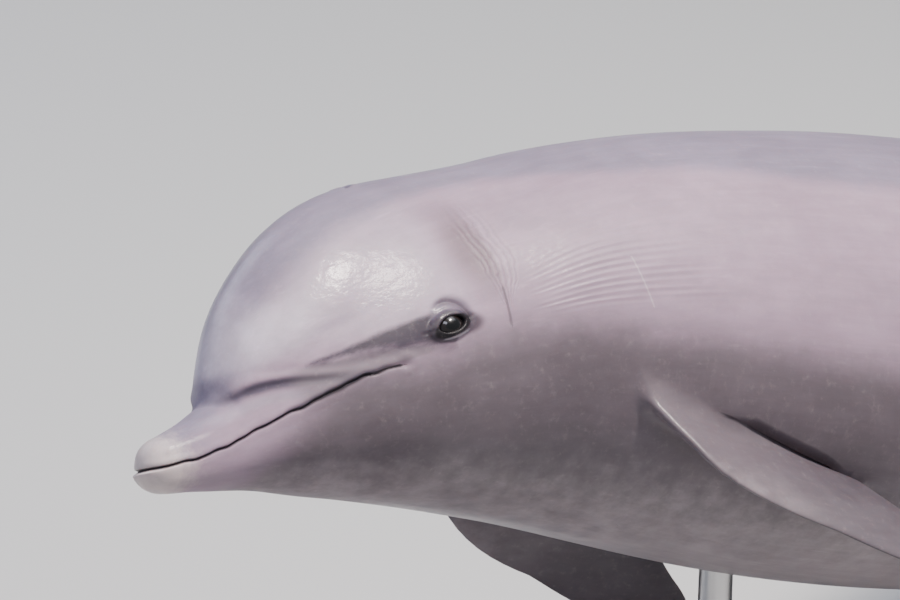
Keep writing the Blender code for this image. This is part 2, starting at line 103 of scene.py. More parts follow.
# ---- outlines of the straight body ----
LEVEL = spline((0, 0), (0.06, -0.001), (0.12, 0), (0.2, 0.008), (0.3, 0.02), (0.4, 0.022), (0.6, 0.015),
               (1.0, 0.018), (1.4, 0.035), (1.8, 0.058), (2.1, 0.07), (2.3, 0.074), (2.5, 0.074))
WIDTH = spline((0, 0.024), (0.03, 0.028), (0.06, 0.0335), (0.09, 0.04), (0.12, 0.05), (0.16, 0.068),
               (0.2, 0.085), (0.25, 0.106), (0.3, 0.1225), (0.34, 0.132), (0.4, 0.1455), (0.5, 0.173),
               (0.6, 0.196), (0.75, 0.217), (0.95, 0.224), (1.2, 0.212), (1.4, 0.19), (1.6, 0.157),
               (1.8, 0.116), (2.0, 0.075), (2.2, 0.043), (2.35, 0.029), (2.46, 0.018))
TOP, BELLY = splines(
    (0, 0.024, -0.022), (0.03, 0.0275, -0.028), (0.06, 0.032, -0.0325), (0.09, 0.038, -0.0375),
    (0.12, 0.047, -0.043), (0.16, 0.058, -0.053), (0.2, 0.078, -0.067), (0.25, 0.117, -0.083),
    (0.3, 0.16, -0.1), (0.35, 0.19, -0.117), (0.4, 0.204, -0.133), (0.5, 0.221, -0.16), (0.6, 0.236, -0.182),
    (0.8, 0.264, -0.209), (1.0, 0.279, -0.217), (1.2, 0.278, -0.207), (1.4, 0.266, -0.18),
    (1.6, 0.243, -0.139), (1.8, 0.213, -0.091), (2.0, 0.177, -0.042), (2.2, 0.138, 0.006),
    (2.35, 0.104, 0.045), (2.42, 0.087, 0.062), (2.46, 0.080, 0.069),
)
# 2 is an ellipse, more is squarer
ROUND_TOP, ROUND_LOW = splines(
    (0, 2.3, 2.3), (0.12, 2.3, 2.2), (0.25, 1.9, 2.1), (0.34, 1.8, 2.1), (0.5, 1.9, 2.15), (1.0, 2.0, 2.15),
    (1.6, 1.9, 1.95), (2.0, 1.65, 1.65), (2.3, 1.55, 1.55), (2.5, 1.8, 1.8),
)
MELON_TOP = spline((0.05, -0.01), (0.11, 0.045), (0.115, 0.057), (0.13, 0.086), (0.15, 0.12), (0.175, 0.148),
                   (0.2, 0.168), (0.25, 0.197), (0.3, 0.213), (0.35, 0.218), (0.4, 0.213), (0.5, 0.19),
                   (0.6, 0.15), (2.5, 0.1))
MELON_WIDTH = spline((0.05, 0.02), (0.11, 0.03), (0.12, 0.041), (0.13, 0.048), (0.15, 0.06), (0.175, 0.073),
                     (0.2, 0.0835), (0.25, 0.099), (0.3, 0.109), (0.35, 0.115), (0.4, 0.118), (0.5, 0.12),
                     (0.6, 0.11), (2.5, 0.05))
MOUTH = spline((0, 0.0005), (0.011, 0), (0.05, -0.002), (0.08, 0.0005), (0.103, 0.0045), (0.127, 0.0105),
               (0.15, 0.0165), (0.18, 0.0225), (0.21, 0.028), (0.24, 0.0325), (0.268, 0.0335), (0.3, 0.033))
# moves the sections back a little, or forward where it is negative
DRAW_IN = spline((0, 0.011), (0.03, 0.007), (0.06, 0.002), (0.09, -0.004), (0.113, -0.0065), (0.16, -0.0055),
                 (0.25, -0.002), (0.32, 0), (0.4, 0), (2.5, 0))


def smooth_max(a, b, k):
    h = np.maximum(k - np.abs(a - b), 0) / k
    return np.maximum(a, b) + h * h * k / 4


def rise(a, b, x):
    t = np.clip((x - a) / (b - a), 0, 1)
    return t * t * (3 - 2 * t)


def hump(d, width):
    """1 at d = 0, falling off on both sides."""
    return np.exp(-((d / width) ** 2))


def between(a, b, x, soft):
    return rise(a - soft, a + soft, x) * (1 - rise(b - soft, b + soft, x))


def oval(a, b, half_a, half_b):
    """Distance from a middle, as a share of the way to an oval of these half sizes."""
    return np.hypot(a / half_a, b / half_b)


def quarter(a, b, x):
    """1 up to a, then falling as a quarter circle to 0 at b."""
    return np.sqrt(1 - np.clip((x - a) / (b - a), 0, 1) ** 2)


def rounded(x, reach):
    """From 0 up to 1 at x = reach, upright at the start."""
    return np.sqrt(np.clip(x / reach, 0, 1))


def unit(v):
    v = np.asarray(v, float)
    return v / np.linalg.norm(v, axis=-1, keepdims=True)


def blunt(x):
    front = (1 - np.clip(1 - x / TIP_LENGTH, 0, 1) ** TIP_POWER) ** (1 / TIP_POWER)
    return front * quarter(LENGTH - REAR_LENGTH, LENGTH, x)


def radius(x, th):
    """Of the section at x, along th: 0 is the left side, a quarter turn the back."""
    c, s = np.abs(np.cos(th)), np.sin(th)
    q = np.maximum(blunt(x), 1e-9)
    z = LEVEL(x)
    tall = np.where(s >= 0, TOP(x) - z, z - BELLY(x)) * q
    power = np.where(s >= 0, ROUND_TOP(x), ROUND_LOW(x))
    r = ((c / (WIDTH(x) * q)) ** power + (np.abs(s) / tall) ** power) ** (-1 / power)
    melon = 1 / np.sqrt((c / MELON_WIDTH(x)) ** 2 + (s / (MELON_TOP(x) - z)) ** 2)
    has = (s > 0) & (x > 0.05) & (x < 2.0)
    k = 0.006 + 0.03 * np.clip((x - 0.11) / 0.25, 0, 1)
    domed = smooth_max(r, np.where(has, melon, 0), k)
    return np.where(has, r + (domed - r) * rise(0, 0.3, s), r)


def bare(x, th):
    """A point of the body's outline, with no folds or lids."""
    x = np.clip(x, 0, LENGTH)
    r = radius(x, th)
    return np.stack([x + DRAW_IN(x) + 0 * th, -r * np.cos(th), LEVEL(x) + r * np.sin(th)], -1)


def bare_at(x, degrees):
    """The same for one place, from plain numbers."""
    return bare(np.float64(x), np.float64(math.radians(degrees)))


def outward(x, th):
    """Normal of the bare outline; at the two poles it points along the body."""
    inside = np.clip(x, 2e-4, LENGTH - 2e-4)
    along = bare(inside + 1e-4, th) - bare(inside - 1e-4, th)
    around = bare(inside, th + 1e-4) - bare(inside, th - 1e-4)
    share = (rise(0, 6e-4, x) * rise(0, 6e-4, LENGTH - x))[..., None]
    pole = np.where((x < 1)[..., None], [-1.0, 0, 0], [1.0, 0, 0])
    return unit(unit(np.cross(along, around)) * share + pole * (1 - share))


def station_angle(p):
    """The x and angle of the section on which a point lies."""
    x = p[..., 0]
    for _ in range(6):
        x = p[..., 0] - DRAW_IN(np.clip(x, 0, LENGTH))
    return x, np.arctan2(p[..., 2] - LEVEL(x), -p[..., 1])


# ---- pose ----
def way_of(pitch, yaw):
    """Back along the spine."""
    return np.stack([np.cos(pitch) * np.cos(yaw), np.cos(pitch) * np.sin(yaw), np.sin(pitch)], -1)


SPINE_X = np.linspace(-0.1, 2.7, 2801)
NECK_SHARE, TAIL_SHARE = rise(NECK_FROM, NECK_TO, SPINE_X), rise(TAIL_FROM, TAIL_TO, SPINE_X)
SPINE_PITCH = np.radians(NECK_PITCH) * NECK_SHARE + np.radians(TAIL_PITCH) * TAIL_SHARE
SPINE_YAW = np.radians(NECK_YAW) * NECK_SHARE
_ways = way_of(SPINE_PITCH, SPINE_YAW)
SPINE = np.cumsum((_ways[1:] + _ways[:-1]) / 2 * np.diff(SPINE_X)[:, None], 0)
SPINE = np.concatenate([[[0, 0, 0]], SPINE]) + [SPINE_X[0], 0, 0]


def posed(p, station=None):
    """Straight body to posed body, in the head's axes. What has a station is held there stiffly."""
    p = np.asarray(p, float)
    x = p[..., 0]
    at = x if station is None else x * 0 + station
    *origin, pitch, yaw = (np.interp(at, SPINE_X, row) for row in (*SPINE.T, SPINE_PITCH, SPINE_YAW))
    along = way_of(pitch, yaw)
    side = np.stack([-np.sin(yaw), np.cos(yaw), 0 * yaw], -1)
    spot = np.stack(origin, -1) + [0, 0, AXIS_Z] + along * (x - at)[..., None]
    return spot + side * p[..., 1:2] + np.cross(along, side) * (p[..., 2:] - AXIS_Z)


# ---- eyes: where each ball sits, and the axes of its lids ----
EYE_X, EYE_Z, EYE_RADIUS, EYE_PROUD = 0.335, 0.056, 0.0170, 0.0045
EYE_ANGLE = 15.5  # of the section's side where the eye sits
EYE_WIDE = 1.08  # the ball is a little wider than tall
LID_TILT = 4.0
LID_HALF, LID_UP, LID_DOWN = 0.0150, 0.0082, 0.0070  # the opening between the lids
LID_THICK = 0.0016
MOUND_WIDE = 0.74


def eye_axes():
    """The left ball's centre, and its axes: back along the lids, up across them, and out."""
    side_y = -bare_at(EYE_X, EYE_ANGLE)[1]
    centre = np.array([EYE_X, -(side_y - EYE_RADIUS + EYE_PROUD), EYE_Z])
    x, th = station_angle(np.array([EYE_X, -side_y, EYE_Z]))
    out = outward(x, th)
    back = unit(np.array([1, 0, math.tan(math.radians(LID_TILT))]))
    back = unit(back - out * back.dot(out))
    return centre, np.stack([back, np.cross(out, back), out])


EYE_CENTRE, EYE_AXES = eye_axes()

# ---- from the head's axes to the frame ----
_roll, _rise = math.radians(ROLL), math.radians(BEAK_UP)
_up = np.array([-math.sin(_rise), -math.cos(_rise) * math.sin(_roll), math.cos(_rise) * math.cos(_roll)])
_chord = posed((LENGTH, 0, AXIS_Z)) - posed((0, 0, AXIS_Z))
_forward = unit(_chord - _up * _chord.dot(_up))
TURN = np.stack([_forward, np.cross(_up, _forward), _up])
_eye_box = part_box("eye_left")
SHIFT = np.array((_eye_box[0] + _eye_box[1]) / 2) - TURN @ posed(EYE_CENTRE)


def in_frame(p, station=None):
    return posed(p, station) @ TURN.T + SHIFT


def left(p):
    """The same place on the left half."""
    return np.stack([p[..., 0], -np.abs(p[..., 1]), p[..., 2]], -1)


def eye_place(p):
    """Back along the lids, up across them, and out from the ball's centre."""
    return np.moveaxis((left(p) - EYE_CENTRE) @ EYE_AXES.T, -1, 0)


def from_eye(u, v, out):
    """The way from the left ball's centre to such a place."""
    return np.stack([u, v, out], -1) @ EYE_AXES


# ---- relief of the skin ----
LIP_LINE = spline((0.10, 0.041), (0.112, 0.043), (0.125, 0.0458), (0.146, 0.0468), (0.168, 0.0440),
                  (0.192, 0.0395), (0.208, 0.0370), (0.241, 0.035), (0.28, 0.036))
LIP_ROLL = spline((0.11, 0.056), (0.129, 0.064), (0.149, 0.0605), (0.176, 0.055), (0.211, 0.0475),
                  (0.239, 0.0465), (0.27, 0.046), (0.3, 0.048))
FOLD_LOW, FOLD_COUNT = 0.043, 14
FOLD_TOP = spline((0.40, 0.098), (0.435, 0.110), (0.489, 0.130), (0.539, 0.144), (0.586, 0.151), (0.70, 0.160))
BLOWHOLE_X = 0.336
# height, distance from the blowhole's middle, width, and how far round it runs, in radians
BLOWHOLE_RINGS = ((-0.0040, 0.0150, 0.0025, 0.85, 1.35), (0.0010, 0.0075, 0.0060, 0.9, 2.0),
                  (0.0009, 0.0205, 0.0045, 1.1, 1.8))
# navel, genital slit and vent: start, end, depth and width
BELLY_SLITS = ((1.045, 1.062, 0.0022, 0.0042), (1.500, 1.600, 0.0034, 0.0036), (1.635, 1.648, 0.0024, 0.0036))


def mouth_cut(p):
    """Height above the line of the lips, which wavers a little."""
    x = p[..., 0]
    waver = 0.0007 * np.sin(x * 62 + 0.6) * rise(0.04, 0.12, x) + 0.0005 * np.sin(x * 171 + 1)
    waver = waver + 0.0005 * np.sin(x * 283 + 2) * np.sin(x * 47) * rise(0.02, 0.06, x)
    # at the beak's tip the line meets the pole, where all the sheet's lines meet
    return p[..., 2] - LEVEL(x) - (MOUTH(x) + waver - LEVEL(x)) * rise(-0.001, 0.014, x)


def mouth_share(p):
    return 1 - rise(GAPE_X + 0.001, GAPE_X + 0.011, p[..., 0])


def fold_phase(p):
    x = p[..., 0]
    return FOLD_COUNT * (p[..., 2] - FOLD_LOW) / (FOLD_TOP(x) - FOLD_LOW)


def fold_share(p):
    """Where the fine folds of the neck show: behind the ear, dying out backwards."""
    x, phase = p[..., 0], fold_phase(p)
    ends = 0.03 * np.sin(phase * 1.9) + 0.02 * np.sin(phase * 4.3 + 1)
    return (
        rise(0.427 + 0.3 * ends.clip(0, 0.03), 0.465 + 0.5 * ends, x)
        * (1 - rise(0.56 + ends, 0.68 + ends, x))
        * rise(-0.4, 1.2, phase)
        * (1 - rise(FOLD_COUNT - 1.2, FOLD_COUNT + 1.5, phase))
    )


def fold_ring(u, v):
    """How far out from the eye, which is 1 on the crease over the lid, and the turn about it in degrees."""
    return np.hypot(u / 0.0225, v / 0.0245), np.degrees(np.arctan2(v / 0.0245, u / 0.0225))


def lid_crease(turn):
    """The crease over the upper lid runs from its crown down behind the eye."""
    return between(0, 104, turn, 24)


def eye_relief(u, v, out):
    """The lids wrap the ball, with a heavy fold above and one below, and a crease runs on from each corner."""
    drawn_out = 1 - 0.22 * (1 - rise(-0.022, -0.002, u))
    reach = (EYE_RADIUS + LID_THICK) ** 2
    wrapped = reach - (u * MOUND_WIDE * drawn_out) ** 2 - v**2
    lid = np.sqrt(np.maximum(wrapped, 0)) - out - 0.009 * rise(0.60, 1.0, 1 - wrapped / reach)
    lid = np.where(wrapped > 0, lid, -0.02)
    ring, turn = fold_ring(u, v)
    low_arch = v + 0.0126 - 8.0 * u * u
    raised = (
        smooth_max(0 * u, lid, 0.0075)
        + 0.0012 * hump(ring - 0.70, 0.22) * between(12, 150, turn, 26)
        - 0.0013 * hump(ring - 1.0, 0.09) * lid_crease(turn)
        + 0.0004 * hump(low_arch, 0.0019) * hump(u, 0.016)
        - 0.0005 * hump(low_arch + 0.0042, 0.0024) * hump(u, 0.016)
        - 0.0004 * hump(v + 0.10 * (u + 0.016), 0.0018) * between(-0.034, -0.018, u, 0.005)
        - 0.0003 * hump(v - 0.14 * (u - 0.016), 0.0018) * between(0.018, 0.032, u, 0.005)
    )
    return np.where(np.hypot(u, v) < 0.06, raised, 0)


def relief(p, th):
    """How far the skin stands out from the bare outline, at bare points p at angles th."""
    px, py, pz = np.moveaxis(left(p), -1, 0)
    side = rise(0.0, 0.4, np.abs(np.cos(th)))
    on_top, below = rise(0.5, 0.9, np.sin(th)), rise(0.5, 0.9, -np.sin(th))
    # lips: a narrow cut with a soft roll above and below, and a small pit at the corner with a fold behind it
    d = mouth_cut(p)
    h = -0.0028 * hump(d, 0.0013) + 0.0008 * hump(d - 0.0045, 0.0038) + 0.0004 * hump(d + 0.0052, 0.0044)
    h *= mouth_share(p)
    corner = np.hypot(px - GAPE_X - 0.003, (pz - 0.0335) * 1.4)
    h -= 0.0014 * hump(corner, 0.006)
    h += 0.0010 * hump(corner - 0.012, 0.005) * rise(-0.004, 0.006, px - GAPE_X)
    # beak: a groove under the melon, the roll over it that runs back to the cheek, and a crease across the top
    lip = pz - LIP_LINE(px)
    groove = -0.0019 * hump(lip, 0.0040) + 0.0009 * hump(lip - 0.0090, 0.0055)
    h += groove * between(0.112, 0.205, px, 0.022) * side
    h -= 0.0010 * hump(pz - LIP_ROLL(px), 0.0046) * between(0.135, 0.27, px, 0.02) * side
    h -= 0.0016 * hump(px - 0.1055 - 0.25 * np.abs(py), 0.0035) * on_top
    h += eye_relief(*eye_place(p))
    # ear: a pinhole, with the neck's short crease running up from it through a shallow hollow
    h -= 0.0012 * hump(np.hypot(px - 0.397, pz - 0.047), 0.0020)
    crease = px - 0.3975 - 0.06 * (pz - 0.09)
    h -= 0.0006 * hump(crease, 0.0026) * between(0.050, 0.085, pz, 0.012) * side
    h -= 0.0012 * hump(oval(px - 0.385, pz - 0.110, 0.030, 0.050), 1.0) * side
    # fine folds of the neck
    phase = fold_phase(p)
    wave = 0.5 + 0.5 * np.cos(2 * math.pi * (phase + 0.10 * np.sin(px * 35)))
    h += 0.00055 * (wave**1.3 - 0.5) * fold_share(p) * side * (0.75 + 0.25 * np.sin(px * 60 + phase * 2.3))
    # blowhole: a crescent, hollow to the front, with a low plug before it and a rim behind
    from_hole, arc = np.hypot(px - BLOWHOLE_X, py), np.abs(np.arctan2(py, px - BLOWHOLE_X))
    for height, ring, wide, start, end in BLOWHOLE_RINGS:
        h += height * hump(from_hole - ring, wide) * (1 - rise(start, end, arc)) * on_top
    for start, end, deep, wide in BELLY_SLITS:
        cut_and_lips = 0.35 * hump(np.abs(py) - 2.3 * wide, 1.4 * wide) - hump(py, wide)
        h += deep * cut_and_lips * between(start, end, px, 0.006) * below
    return h


JAW_AHEAD = 0.005  # how far the lower jaw stands out in front of the upper


def skin_point(x, th):
    p = bare(x, th)
    ahead = JAW_AHEAD * (1 - rise(0.008, 0.075, p[..., 0])) * rise(-0.001, 0.003, -mouth_cut(p))
    p = p + outward(x, th) * relief(p, th)[..., None]
    return p - ahead[..., None] * [1, 0, 0]


# ---- flat pattern: rings along X, lines round Y, both counted in whole numbers ----
def ring_table():
    """x of each whole ring behind the beak's tip: 4.6 mm apart on the head, wider along the trunk."""
    rear_start = LENGTH - REAR_LENGTH
    knots = (TIP_LENGTH, 0.40, 0.47, 0.72, 0.90, 2.15, 2.25, rear_start)
    gaps = (0.0046, 0.0046, 0.0085, 0.0085, 0.0115, 0.0115, 0.0065, 0.0065)
    places = [TIP_LENGTH]
    while places[-1] < rear_start:
        places.append(places[-1] + float(np.interp(places[-1], knots, gaps)))
    places = np.array(places)
    return TIP_LENGTH + (places - TIP_LENGTH) * (rear_start - TIP_LENGTH) / (places[-1] - TIP_LENGTH)


BODY_RINGS = ring_table()
RINGS = TIP_RINGS + len(BODY_RINGS) - 1 + REAR_RINGS


def station(ring):
    """x of a ring of the pattern, which may be a half or a quarter ring."""
    tip = TIP_LENGTH * (1 - np.abs(np.cos(np.clip(ring / TIP_RINGS, 0, 1) * math.pi / 2)) ** (2 / TIP_POWER))
    last = TIP_RINGS + len(BODY_RINGS) - 1
    middle = np.interp(ring, np.arange(TIP_RINGS, last + 1), BODY_RINGS)
    b = np.clip((RINGS - ring) / REAR_RINGS, 0, 1) * math.pi / 2
    rear = LENGTH - REAR_LENGTH * (1 - np.cos(b))
    return np.where(ring < TIP_RINGS, tip, np.where(ring > last, rear, middle))


def line_table(crowd_low, crowd_high):
    """Angle of each line, from the belly round to the belly, with the lines closer at the sides."""
    quarter = []
    for start, end, middle, spread, crowd in ((-90, 0, 0, 24, crowd_low), (0, 90, 10, 27, crowd_high)):
        angles = np.linspace(start, end, 901)
        dense = 1 + crowd * hump(angles - middle, spread)
        count = np.concatenate([[0], np.cumsum((dense[1:] + dense[:-1]) / 2)])
        lines = np.linspace(0, count[-1], LINES + 1)
        quarter.append(np.interp(lines, count, angles))
    left_half = np.concatenate([quarter[0], quarter[1][1:]])
    return np.radians(np.concatenate([left_half, 180 - left_half[-2::-1]]))


HEAD_LINES, TRUNK_LINES = line_table(2.3, 2.5), line_table(0, 0)
ROOT_MIDDLE, ROOT_ANGLE, ROOT_SLANT = 0.66, math.radians(-32.5), math.radians(-53)
QUARTERS = np.linspace(0, LINES, len(HEAD_LINES))


def angle(line, x):
    """Angle of a line at x. On the head the line at the side runs along the lips."""
    crowded = np.interp(line, QUARTERS, HEAD_LINES)
    even = np.interp(line, QUARTERS, TRUNK_LINES)
    share = rise(0.50, 1.0, x)
    th = crowded * (1 - share) + even * share
    up_share = np.clip((MOUTH(x) - LEVEL(x)) / (WIDTH(x) * np.maximum(blunt(x), 0.05)), -0.3, 0.3)
    lips = np.arcsin(up_share) * (1 - rise(0.28, 0.50, x)) * rise(0.0, 0.02, x)
    th = th + lips * np.cos(th) * np.abs(np.cos(th)) ** 3
    # round the flippers' roots the lines lean as the roots do
    from_root = np.arcsin(np.sin(th)) - ROOT_ANGLE
    lean = ROOT_SLANT * np.clip(x - ROOT_MIDDLE, -0.2, 0.2) * between(0.46, 0.87, x, 0.06)
    c = np.cos(th)
    return th + lean * hump(from_root, math.radians(32)) * np.sign(c) * rise(0, 0.5, np.abs(c))


def pattern_place(x, th):
    """The ring and line nearest to sections x at angles th."""
    rings = np.linspace(0, RINGS, 4 * RINGS + 1)
    lines = np.linspace(0, LINES, 8 * LINES + 1)
    ring = np.interp(x, station(rings), rings)
    th = np.where(th < -math.pi / 2, th + 2 * math.pi, th)
    return ring, np.array([np.interp(t, angle(lines, a + 0 * lines), lines) for a, t in zip(x, th)])


# ---- fins, as lead and trail points, way of their thickness, and thickness, at shares s of their length ----
FLIPPER_X, FLIPPER_ANGLE = 0.598, -26.5
FLIPPER_LENGTH, FLIPPER_CHORD, FLIPPER_THICK = 0.415, 0.150, 0.025
FLIPPER_WAY = (0.767, -0.274, -0.578)
FLIPPER_TWIST = -20.0
DORSAL_X0, DORSAL_X1, DORSAL_HEIGHT, DORSAL_THICK = 1.06, 1.42, 0.235, 0.036
DORSAL_X = (DORSAL_X0 + DORSAL_X1) / 2
FLUKE_SPAN, FLUKE_THICK, FLUKE_X = 0.305, 0.028, 2.40


def tip_round(u, start):
    """How far the front edge has come round to the rear one, near a fin's tip."""
    return 1 - quarter(start, 1, u)


def flipper(s):
    """The left one: a swept paddle, widest at a third, narrowing to a blunt point."""
    way = unit(FLIPPER_WAY)
    back = unit(np.array([1.0, 0, 0]) - way[0] * way)
    face = np.cross(way, back)
    stay, turn = math.cos(math.radians(FLIPPER_TWIST)), math.sin(math.radians(FLIPPER_TWIST))
    back, face = back * stay + face * turn, face * stay - back * turn
    root = bare_at(FLIPPER_X, FLIPPER_ANGLE)
    s = np.asarray(s, float)[..., None]
    u = np.maximum(s, 0)
    lead = -0.062 - 0.012 * np.sin(math.pi * np.minimum(u / 0.45, 1)) + 0.088 * u**2.1
    shoulder = 0.70 * np.maximum(0.10 - s, 0) ** 2  # the front edge curves back into the body
    chord = FLIPPER_CHORD * (0.80 + 0.20 * rise(0, 0.28, u) - 0.62 * rise(0.30, 1.02, u))
    chord = np.maximum(chord * quarter(0.80, 1.005, u), 0.010)
    thick = FLIPPER_THICK * (1 - 0.72 * u) * (chord / FLIPPER_CHORD) ** 0.3
    spot = root + way * FLIPPER_LENGTH * s + face * 0.016 * u * u
    return spot + back * (lead + shoulder), spot + back * (lead + chord), face + 0 * spot, thick


def level_blade(lead, trail, y, z, across, thick):
    """A fin whose chords run along x."""
    zero = 0 * lead
    edges = [np.stack([x, y + zero, z + zero], -1) for x in (lead, trail)]
    return *edges, zero[..., None] + across, thick[..., None]


def dorsal(s):
    """Falcate, leaning back, hollow behind."""
    s = np.asarray(s, float)
    u = np.maximum(s, 0)
    length = DORSAL_X1 - DORSAL_X0
    lead = DORSAL_X0 + length * (0.52 * s + 0.42 * u**2.5)
    trail = DORSAL_X1 + length * (-0.30 * rise(0, 0.60, u) + 0.32 * u**3.2)
    lead = lead + 0.85 * (trail - lead) * tip_round(u, 0.86)
    lead = np.where(s < 0, DORSAL_X0 + 0.25 * length * s, lead)
    trail = np.where(s < 0, DORSAL_X1 + 0.05 * length * np.minimum(-s / 0.02, 1), trail)
    trail = np.maximum(trail, lead + 0.014)
    z = float(TOP(DORSAL_X)) - 0.006 + DORSAL_HEIGHT * s
    thick = DORSAL_THICK * (1 - 0.80 * u) * np.minimum(1, (trail - lead) / 0.10) ** 0.4
    return level_blade(lead, trail, 0, z, (0, 1, 0), thick)


def fluke(s):
    """The left half: swept, hollow behind, meeting the other at the notch."""
    s = np.asarray(s, float)
    u = np.clip(s, 0, 1)
    lead = 2.250 + 0.168 * u**0.85 + 0.064 * u**3.2
    trail = 2.446 + 0.036 * np.sin(math.pi * np.minimum(u / 0.30, 1) / 2) - 0.030 * u + 0.056 * u**3.5
    lead = lead + 0.80 * (trail - lead) * tip_round(u, 0.88)
    trail = np.maximum(trail, lead + 0.003)
    thick = FLUKE_THICK * (1 - 0.83 * u) * np.minimum(1, (trail - lead) / 0.08) ** 0.5
    return level_blade(lead, trail, -FLUKE_SPAN * s, 0.0735 - 0.010 * u * u, (0, 0, 1), thick)


EDGE_HALF = 0.0011  # half thickness at the rounded rear edge


def fin_point(blade, s, t, w, grow=0.0, rear_grow=1.0):
    """On a fin at share s of its length and t of its chord. w is -1 on one face and 1 on the other."""
    lead, trail, across, thick = blade(s)
    chord = trail - lead
    reach = unit(chord)
    lead = lead - reach * np.asarray(grow)[..., None]
    trail = trail + reach * (np.asarray(grow) * rear_grow)[..., None]
    t, w = t[..., None], w[..., None]
    half = thick / 2 * 1.45 * np.sqrt(np.maximum(t, 0)) * np.maximum(1 - t, 0) ** 0.75
    half = half + np.minimum(EDGE_HALF, thick / 3) * quarter(0.86, 1, t) * rounded(t, 0.05)
    swell = np.asarray(grow)[..., None] * rounded(t, 0.08) * rounded(1 - t, 0.08)
    swell = swell * (rear_grow + (1 - rear_grow) * np.maximum(1 - t, 0) ** 0.8)
    return lead + (trail - lead) * t + across * (half + swell) * w


def above(p):
    """Rough height of a point over the bare outline."""
    x, th = station_angle(p)
    inside = np.clip(x, 1e-4, LENGTH - 1e-4)
    beyond = np.maximum(x - LENGTH, 0)
    return np.hypot(p[..., 1], p[..., 2] - LEVEL(x)) - radius(inside, th) + 3 * beyond


def crossing(blade, t, w, height, grow, rear_grow, last=0.6):
    """Share s at which each line of the fin stands height over the body."""
    deepest = {flipper: -0.30, dorsal: -0.16, fluke: 0.0}[blade]
    low, high = np.full(t.shape, deepest), np.full(t.shape, last)
    for _ in range(24):
        middle = (low + high) / 2
        over = above(fin_point(blade, middle, t, w, grow + 0 * t, rear_grow)) > height
        low, high = np.where(over, low, middle), np.where(over, middle, high)
    return (low + high) / 2


# ---- the sheet ----
def primitive(name, add_it, **settings):
    """A named primitive, added with nothing else selected."""
    bpy.ops.object.select_all(action="DESELECT")
    add_it(**settings)
    bpy.context.object.name = name
    return bpy.context.object


def only(obj):
    """Selects this object alone."""
    bpy.ops.object.select_all(action="DESELECT")
    obj.select_set(True)
    bpy.context.view_layer.objects.active = obj


def edit(obj):
    only(obj)
    bpy.ops.object.mode_set(mode="EDIT")
    return bmesh.from_edit_mesh(obj.data)


def object_mode():
    bpy.ops.object.mode_set(mode="OBJECT")


def pick(obj, kind, wanted):
    """Selects the faces or the edges that pass the test, which gets a face's middle or an edge's two ends."""
    bpy.ops.mesh.select_mode(type=kind)
    bpy.ops.mesh.select_all(action="DESELECT")
    shape = bmesh.from_edit_mesh(obj.data)
    for part in shape.faces if kind == "FACE" else shape.edges:
        if wanted(*([part.calc_center_median()] if kind == "FACE" else [v.co for v in part.verts])):
            part.select_set(True)
    bmesh.update_edit_mesh(obj.data)


def rings_of(*xs):
    rings = np.linspace(0, RINGS, 4 * RINGS + 1)
    return [float(np.interp(x, station(rings), rings)) for x in xs]


def window(x0, x1, degrees0, degrees1):
    """Range of rings and lines between two stations and two angles, on the left."""
    r0, r1 = rings_of(x0, x1)
    middle = np.full(2, (x0 + x1) / 2)
    _, lines = pattern_place(middle, np.radians([degrees0, degrees1]))
    return r0, r1, float(lines[0]), float(lines[1])


def at_lip_groove(c):
    """Whether the sheet's point c comes to lie near the groove between melon and beak."""
    if not LIP_RINGS[0] < c.x < LIP_RINGS[1]:
        return False
    x = float(station(c.x))
    return abs(float(bare(x, angle(c.y, x))[2] - LIP_LINE(x))) < 0.0075


def within(box, both=True):
    r0, r1, l0, l1 = box

    def test(c):
        here = l0 < c.y < l1 or (both and l0 < LINES - c.y < l1)
        return r0 < c.x < r1 and here

    return test


grid = dict(x_subdivisions=RINGS, y_subdivisions=LINES, size=1, location=(0.5, 0.5, 0))
skin = primitive("skin", bpy.ops.mesh.primitive_grid_add, **grid)
skin.scale = (RINGS, LINES, 1)
skin.location = (RINGS / 2, LINES / 2, 0)
bpy.ops.object.transform_apply(location=True, rotation=True, scale=True)

EYE_WINDOW = window(0.298, 0.374, -1, 31)
BLOW_WINDOW = window(0.312, 0.366, 74, 90)
FOLD_WINDOW = window(0.418, 0.690, 5, 48)
SLIT_WINDOWS = [
    (*rings_of(*reach), -1, lines) for reach in ((1.03, 1.08), (1.485, 1.66)) for lines in (2.1, 1.1)
]
LIP_RINGS = rings_of(0.104, 0.240)
HEAD_RING = math.floor(rings_of(FINE_TO)[0])
edit(skin)
for wanted in (
    lambda c: c.x < HEAD_RING,
    at_lip_groove,
    lambda c: c.x < 1.0,  # the beak's tip, where all lines meet
    lambda c: c.x < 0.25,
    *(within(box) for box in (EYE_WINDOW, BLOW_WINDOW, BLOW_WINDOW, *SLIT_WINDOWS)),
):
    pick(skin, "FACE", wanted)
    bpy.ops.mesh.subdivide(number_cuts=1)
# the folds run lengthwise, so only the edges across them are cut, first in two and then in three
in_folds = within(FOLD_WINDOW)
for cuts, shortest in ((1, 0.9), (2, 0.1)):
    pick(
        skin,
        "EDGE",
        lambda a, b: abs(a.x - b.x) < 1e-6 and abs(a.y - b.y) > shortest and in_folds((a + b) / 2),
    )
    bpy.ops.mesh.subdivide(number_cuts=cuts)
object_mode()


def get(mesh, name, width=1):
    values = np.empty(len(mesh.vertices) * width, np.float32)
    if name == "co":
        mesh.vertices.foreach_get("co", values)
    else:
        mesh.attributes[name].data.foreach_get("value" if width == 1 else "vector", values)
    return values.reshape(-1, width).astype(float) if width > 1 else values.astype(float)


